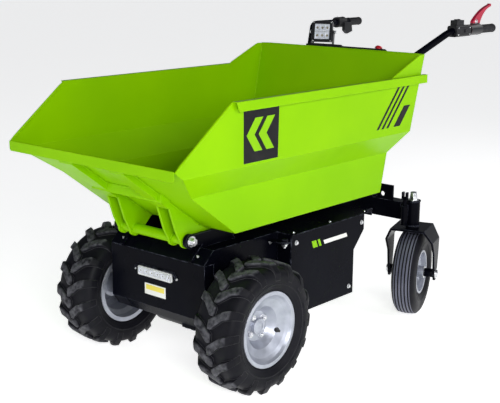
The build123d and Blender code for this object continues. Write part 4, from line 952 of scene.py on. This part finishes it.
def lamp_front(place):
    """Two rows of three chips in square cups, the bars between them and the glass in front."""
    cups, chips, bars_between, cover = Piece(), Piece(), Piece(), Piece()
    floor, inner = LAMP_FACE - LAMP_RECESS, LAMP_HALF - LAMP_RIM
    columns, rows = LAMP_CELLS
    cell_x, cell_y = 2 * inner / columns, 2 * inner / rows
    for i in range(columns):
        for k in range(rows):
            x, y = (i - (columns - 1) / 2) * cell_x, (k - (rows - 1) / 2) * cell_y
            spot = place @ Matrix.Translation(Vector((x, y, floor)) * MM)
            mouth = square(cell_x / 2 - 0.5, cell_y / 2 - 0.8)
            points = [(a, b, CUP_HIGH) for a, b in mouth]
            points += [(a * CUP_FLOOR[0], b * CUP_FLOOR[1], CUP_LOW) for a, b in mouth]
            faces = [(n, (n + 1) % 4, (n + 1) % 4 + 4, n + 4) for n in range(4)] + [(4, 5, 6, 7)]
            cups.add(points, faces, spot)
            chips.lathe(LAMP_CHIP, spot, 20)
    bars_between.prism(square(inner, BAR_ACROSS), floor, floor + BAR_HIGH, place)
    for side in (-1, 1):
        bar = [(side * cell_x / 2 + x, y) for x, y in square(BAR_ALONG, inner)]
        bars_between.prism(bar, floor, floor + BAR_HIGH, place)
    pane = place @ Matrix.Translation(Vector((0, 0, floor + PANE_UP)) * MM)
    cover.block((2 * (inner - PANE_GAP), 2 * (inner - PANE_GAP), PANE_THICK), pane)
    cups.object("lamp_cups", "chassis", "reflector", slot="lens")
    chips.object("lamp_chips", "chassis", "led", slot="lens")
    bars_between.object("lamp_grid", "chassis", "lens")
    cover.object("lamp_glass", "chassis", "glass", slot="lens", bevel=0.3)


def lamp_bolts(place):
    """Screws at the frame's corners and a pivot bolt on each side."""
    bolts = Piece()
    across, out = (place.to_3x3() @ Vector(way) for way in ((1, 0, 0), (0, 0, 1)))
    corner, (pivot_out, pivot_back) = LAMP_HALF - LAMP_SCREW_IN, LAMP_PIVOT
    for x in (-1, 1):
        for y in (-1, 1):
            screw(bolts, place @ (Vector((x * corner, y * corner, LAMP_FACE)) * MM), out, 2.4)
        pivot = place @ (Vector((x * (LAMP_HALF + pivot_out), 0, pivot_back)) * MM)
        bolt(bolts, pivot, across * x, 5.0, head=3.0)
    bolts.object("lamp_bolts", "chassis", "zinc_steel")


# -------- labels and stripes
WALL_Z = (708, 896.5)  # the skip's upright wall: heights, and how far out its face is there
WALL_Y = (353, 358)
FILM = 0.35  # thickness of a film
# outlines on the wall as (x, z)
PANEL_FILM = [(107, 873), (-48, 870), (-49, 716), (101, 716)]
CHEVRON = [(0, 0), (34, 0), (70, 48), (34, 96), (0, 96), (36, 48)]
CHEVRON_AT = ((-30, 747), (22, 747))
REAR_LEAN = -0.86
# slanted bars at the back of each wall: low, high, starts, width
REAR_BARS = ((734, 866, (-566, -594, -622), 13), (734, 800, (-690,), 38))
# stripes on the battery box's side as (x, z)
BOX_GREEN = (
    [(-352, 362), (-376, 362), (-366, 386), (-342, 386)],
    [(-384, 362), (-396, 362), (-386, 386), (-374, 386)],
)
BOX_WHITE = [(-412, 364), (-540, 364), (-534, 378), (-406, 378)]
# blank label on the front panel: place, size
LABEL = ((103.4, -6, 269), (92, 36, 0.8))
LABEL_FIELD = ((103.9, -6, 275), (80, 16, 0.5))


def wall_face(z):
    """How far out the upright wall's face is at a height."""
    return WALL_Y[0] + (WALL_Y[1] - WALL_Y[0]) * (z - WALL_Z[0]) / (WALL_Z[1] - WALL_Z[0])


def wall_film(piece, outline, hand, lift=0):
    """A thin film on the wall."""
    faces = [
        [(x, hand * (wall_face(z) + off), z) for x, z in outline] for off in (lift, lift + FILM)
    ]
    piece.stack(faces, Matrix.Translation(AXLE))


def wall_stripes(name, hand):
    """Plain arrows on a dark panel at the front of a wall, slanted bars at its back."""
    dark, light = Piece(), Piece()
    wall_film(dark, PANEL_FILM, hand)
    for x0, z0 in CHEVRON_AT:
        wall_film(light, [(x0 + x, z0 + z) for x, z in CHEVRON], hand, FILM)
    for low, high, starts, width in REAR_BARS:
        lean = (high - low) * REAR_LEAN
        for x in starts:
            outline = [(x, low), (x + width, low), (x + width + lean, high), (x + lean, high)]
            wall_film(dark, outline, hand)
    dark.object("wall_stripes_" + name, "skip", "decal_black", slot="black_plastic")
    light.object("wall_arrows_" + name, "skip", "decal_green", slot="green_paint")


def box_stripes(name, hand):
    """Short slanted stripes on the side of the battery box."""
    green, white = Piece(), Piece()
    for piece, outlines in ((green, BOX_GREEN), (white, (BOX_WHITE,))):
        for outline in outlines:
            faces = [[(x, hand * (SIDE_FACE + off), z) for x, z in outline] for off in (0, FILM)]
            piece.stack(faces, Matrix.Translation(AXLE))
    green.object("box_stripe_green_" + name, "chassis", "decal_green", slot="green_paint")
    white.object("box_stripe_white_" + name, "chassis", "label_white", slot="lens")


def blank_label():
    plate, field = Piece(), Piece()
    for piece, (place, size) in ((plate, LABEL), (field, LABEL_FIELD)):
        piece.block(size, square_to(at(*place), (1, 0, 0)))
    plate.object("blank_label", "chassis", "label_white", slot="lens", bevel=0.2)
    field.object("label_field", "chassis", "label_yellow", slot="lens")


# -------- grips and controls
GRIP_Y = 307
GRIP_Z = 1025
GRIP_RIB = 6.2  # from one rib to the next
# (radius, distance) from the grip's front, from a rib's start and from the grip's end
GRIP_COLLAR = [(12.6, 0), (15.6, 0), (16.4, 0.8), (16.4, 4.5), (15.4, 5.6), (14.4, 6.5)]
GRIP_RING = [(14.6, 0), (15.7, 1.5), (15.7, 3.7), (14.6, 5.2)]
GRIP_TAIL = [
    (14.8, -12), (16.2, -10), (16.4, -6), (15.6, -2.4), (13.2, -0.5), (9, 0), (4, 0), (3.4, -1.4),
    (0, -1.4),
]
FIRST_RIB = 8


def grips():
    """Ribbed rubber grips with a collar at the front and a rounded end."""
    for name, _ in SIDES:
        low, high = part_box("grip_" + name)
        length = (high.x - low.x) / MM
        profile, h = list(GRIP_COLLAR), FIRST_RIB
        while h < length + GRIP_TAIL[0][1] - GRIP_RIB:
            profile += lifted(GRIP_RING, h)
            h += GRIP_RIB
        piece = Piece()
        front = Vector((high.x, (low.y + high.y) / 2, (low.z + high.z) / 2))
        piece.lathe(profile + lifted(GRIP_TAIL, length), square_to(front, (-1, 0, 0)), 48)
        grip = piece.object("grip_rubber_" + name, "chassis", "rubber")
        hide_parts("grip_" + name)


UP, DOWN, LEFT, RIGHT = (0, 0, 1), (0, 0, -1), (0, 1, 0), (0, -1, 0)
# screws on the handles: x, y and z from the left grip's axis, way out, radius
LEFT_SCREWS = (
    (-1176, 20, -12, LEFT, 2.6), (-1176, 20, 12, LEFT, 2.6), (-1096, 20, -12, LEFT, 2.6),
    (-1096, 20, 12, LEFT, 2.6), (-1208, 0, -20, DOWN, 3.2), (-1268, 0, -20, DOWN, 3.2),
)
THROTTLE_SCREWS_X, THROTTLE_TOP = (-1230, -1262), 21
LEVER_BOLT = (-1244, 6, 30)  # pivot through the brake lever's foot: x, half thickness, z
# buttons of the switch housing: x, y and z from the left grip's axis, way out, size
BUTTONS = (
    (-1126, 0, 40, UP, (12, 9, 5)), (-1108, 0, 40, UP, (12, 9, 5)), (-1150, 20, 0, LEFT, (20, 12, 6)),
)


def controls():
    """Screws and buttons of the switch housing, the lever's perch and the throttle."""
    bolts, dark = Piece(), Piece()
    for x, y, z, way, radius in LEFT_SCREWS:
        screw(bolts, at(x, GRIP_Y + y, GRIP_Z + z), way, radius)
    for x in THROTTLE_SCREWS_X:
        screw(bolts, at(x, -GRIP_Y, GRIP_Z + THROTTLE_TOP), UP, 2.8)
    x, y, z = LEVER_BOLT
    bolt(bolts, at(x, GRIP_Y + y, GRIP_Z + z), LEFT, 6.0, head=3.5)
    bolt(bolts, at(x, GRIP_Y - y, GRIP_Z + z), RIGHT, 6.0, head=3.5, stud=4)
    for x, y, z, way, size in BUTTONS:
        dark.block(size, square_to(at(x, GRIP_Y + y, GRIP_Z + z), way))
    bolts.object("control_screws", "chassis", "zinc_steel")
    dark.object("switch_buttons", "chassis", "black_plastic", bevel=1.2)


# -------- skip's edges and seams
LIP = (370.2, 730.6)  # fold at the spout's end, as (x, z)
PEAK = (151.5, 895)  # where a side's front edge meets the rim
WING = ((-630, 896), (-794, 962.5))  # a side's rise to the rear corner
REAR_TOP_X = -817.6
SHEET_HALF = 1.5
FRONT_EDGE_R, LIP_R, REAR_EDGE_R = 4, 3.4, 3.2
SEAM_R = 2.4
# a seam inside the skip as (x, y, z): along the floor, up the spout; and up the rear corner
SPOUT_SEAM = ((-703, 272.2, 496), (46, 272.2, 496), (229, 272.2, 630.5),
              (342, 349, 712.6), (366, 349.6, 729.5))
CORNER_SEAM = ((-702.2, 272, 497), (-734, 272, 627.5), (-753.6, 349.2, 708.5),
               (-799, 354.2, 895), (-814.8, 355.8, 959.5))
# tail of an outer ear along the floor, as (x, z)
EAR_TAIL = ((91, 444), (52, 466), (-36, 463.5), (-62, 492), (44, 492))
EAR_TAIL_Y = (130.4, 137.6)


def side_edge(start, end, hand, count=12):
    """Places up the edge of a side's sheet, from one (x, z) to another."""
    line = []
    for k in range(count + 1):
        x, z = (a + (b - a) * k / count for a, b in zip(start, end))
        line.append(at(x, hand * (wall_face(z) - SHEET_HALF), z))
    return line


def cross_edge(x, z, count=8):
    """Places along the edge of the spout or the rear wall, from side to side."""
    half = wall_face(z) - SHEET_HALF
    return [at(x, half * k / count, z) for k in range(-count, count + 1)]


def skip_edges():
    """Rounded sheet edges."""
    edges = Piece()
    for _, hand in SIDES:
        edges.tube(side_edge(LIP, PEAK, hand), FRONT_EDGE_R, steps=12)
        edges.tube(side_edge(*WING, hand), REAR_EDGE_R, steps=12)
    edges.tube(cross_edge(*LIP), LIP_R, steps=12)
    edges.tube(cross_edge(REAR_TOP_X, WING[1][1]), REAR_EDGE_R, steps=12)
    edges.object("skip_edges", "skip", "green_paint")


def skip_seams():
    """Weld seams inside the corners and along the foot of the rear wall."""
    seams = Piece()
    for _, hand in SIDES:
        for line in (SPOUT_SEAM, CORNER_SEAM):
            places = [at(x, hand * y, z) for x, y, z in line]
            for a, b in zip(places, places[1:]):
                seams.weld(a, b, SEAM_R)
    x, y, z = SPOUT_SEAM[0]
    seams.weld(at(x, y, z), at(x, -y, z), SEAM_R)
    seams.object("skip_seams", "skip", "green_paint")


def ear_tails():
    """Tails of the outer ears, back along the floor."""
    tails = Piece()
    for _, hand in SIDES:
        faces = [[(x, hand * y, z) for x, z in EAR_TAIL] for y in EAR_TAIL_Y]
        tails.stack(faces, Matrix.Translation(AXLE))
    tails.object("ear_tails", "skip", "green_paint", bevel=1.0)


# -------- welds
RIB_FACES_Y = (81, 89, 130, 138)
RIB_WELD = ((49, 491.5), (352, 713))  # along a rib's top, as (x, z)
EAR_FACES_Y = (130, 89, 81)
EAR_RING_R = 16.6
BRACE_WELD = (225.5, 150, 621)  # x, half length, z
ARM_WELDS_X, ARM_Y, ARM_Z = (-897, -925), 248, (358, 414)
HANDLE_FOOT = (-911, 110, 480)
HANDLE_RING_R = 13.2


def skip_welds():
    """Beads along the ribs, round the pivot ears and along the cross tube."""
    green = Piece()
    (x0, z0), (x1, z1) = RIB_WELD
    for _, hand in SIDES:
        for y in RIB_FACES_Y:
            green.weld(at(x0, hand * y, z0), at(x1, hand * y, z1))
        for y in EAR_FACES_Y:
            green.ring_weld(square_to(skip_pin(hand * y), (0, hand, 0)), EAR_RING_R, turns=40)
    x, half, z = BRACE_WELD
    green.weld(at(x, -half, z), at(x, half, z))
    green.object("skip_welds", "skip", "green_paint")


def chassis_welds():
    """Beads at the beam's arms and round the feet of the handlebar."""
    dark = Piece()
    x0, y0, z0 = HANDLE_FOOT
    for _, hand in SIDES:
        for x in ARM_WELDS_X:
            dark.weld(at(x, hand * ARM_Y, ARM_Z[0]), at(x, hand * ARM_Y, ARM_Z[1]))
        dark.ring_weld(square_to(at(x0, hand * y0, z0), (0, 0, 1)), HANDLE_RING_R, turns=30)
    dark.object("chassis_welds", "chassis", "black_paint")


lug = flat_lug()
for side_name, side_hand in SIDES:
    front_tyre(side_name, side_hand, lug)
    caster_tyre(side_name)
    hub_parts(side_name, side_hand)
    caster_hub(side_name)
    kingpin(side_name)
    caster_shaft(side_name)
fasteners = Piece()
chassis_bolts(fasteners)
cover_tabs(fasteners)
fasteners.object("chassis_bolts", "chassis", "zinc_steel")
light_bar()
lamp_front(lamp_place())
lamp_bolts(lamp_place())
for side_name, side_hand in SIDES:
    wall_stripes(side_name, side_hand)
    box_stripes(side_name, side_hand)
blank_label()
skip_edges()
skip_seams()
ear_tails()
grips()
controls()
skip_welds()
chassis_welds()
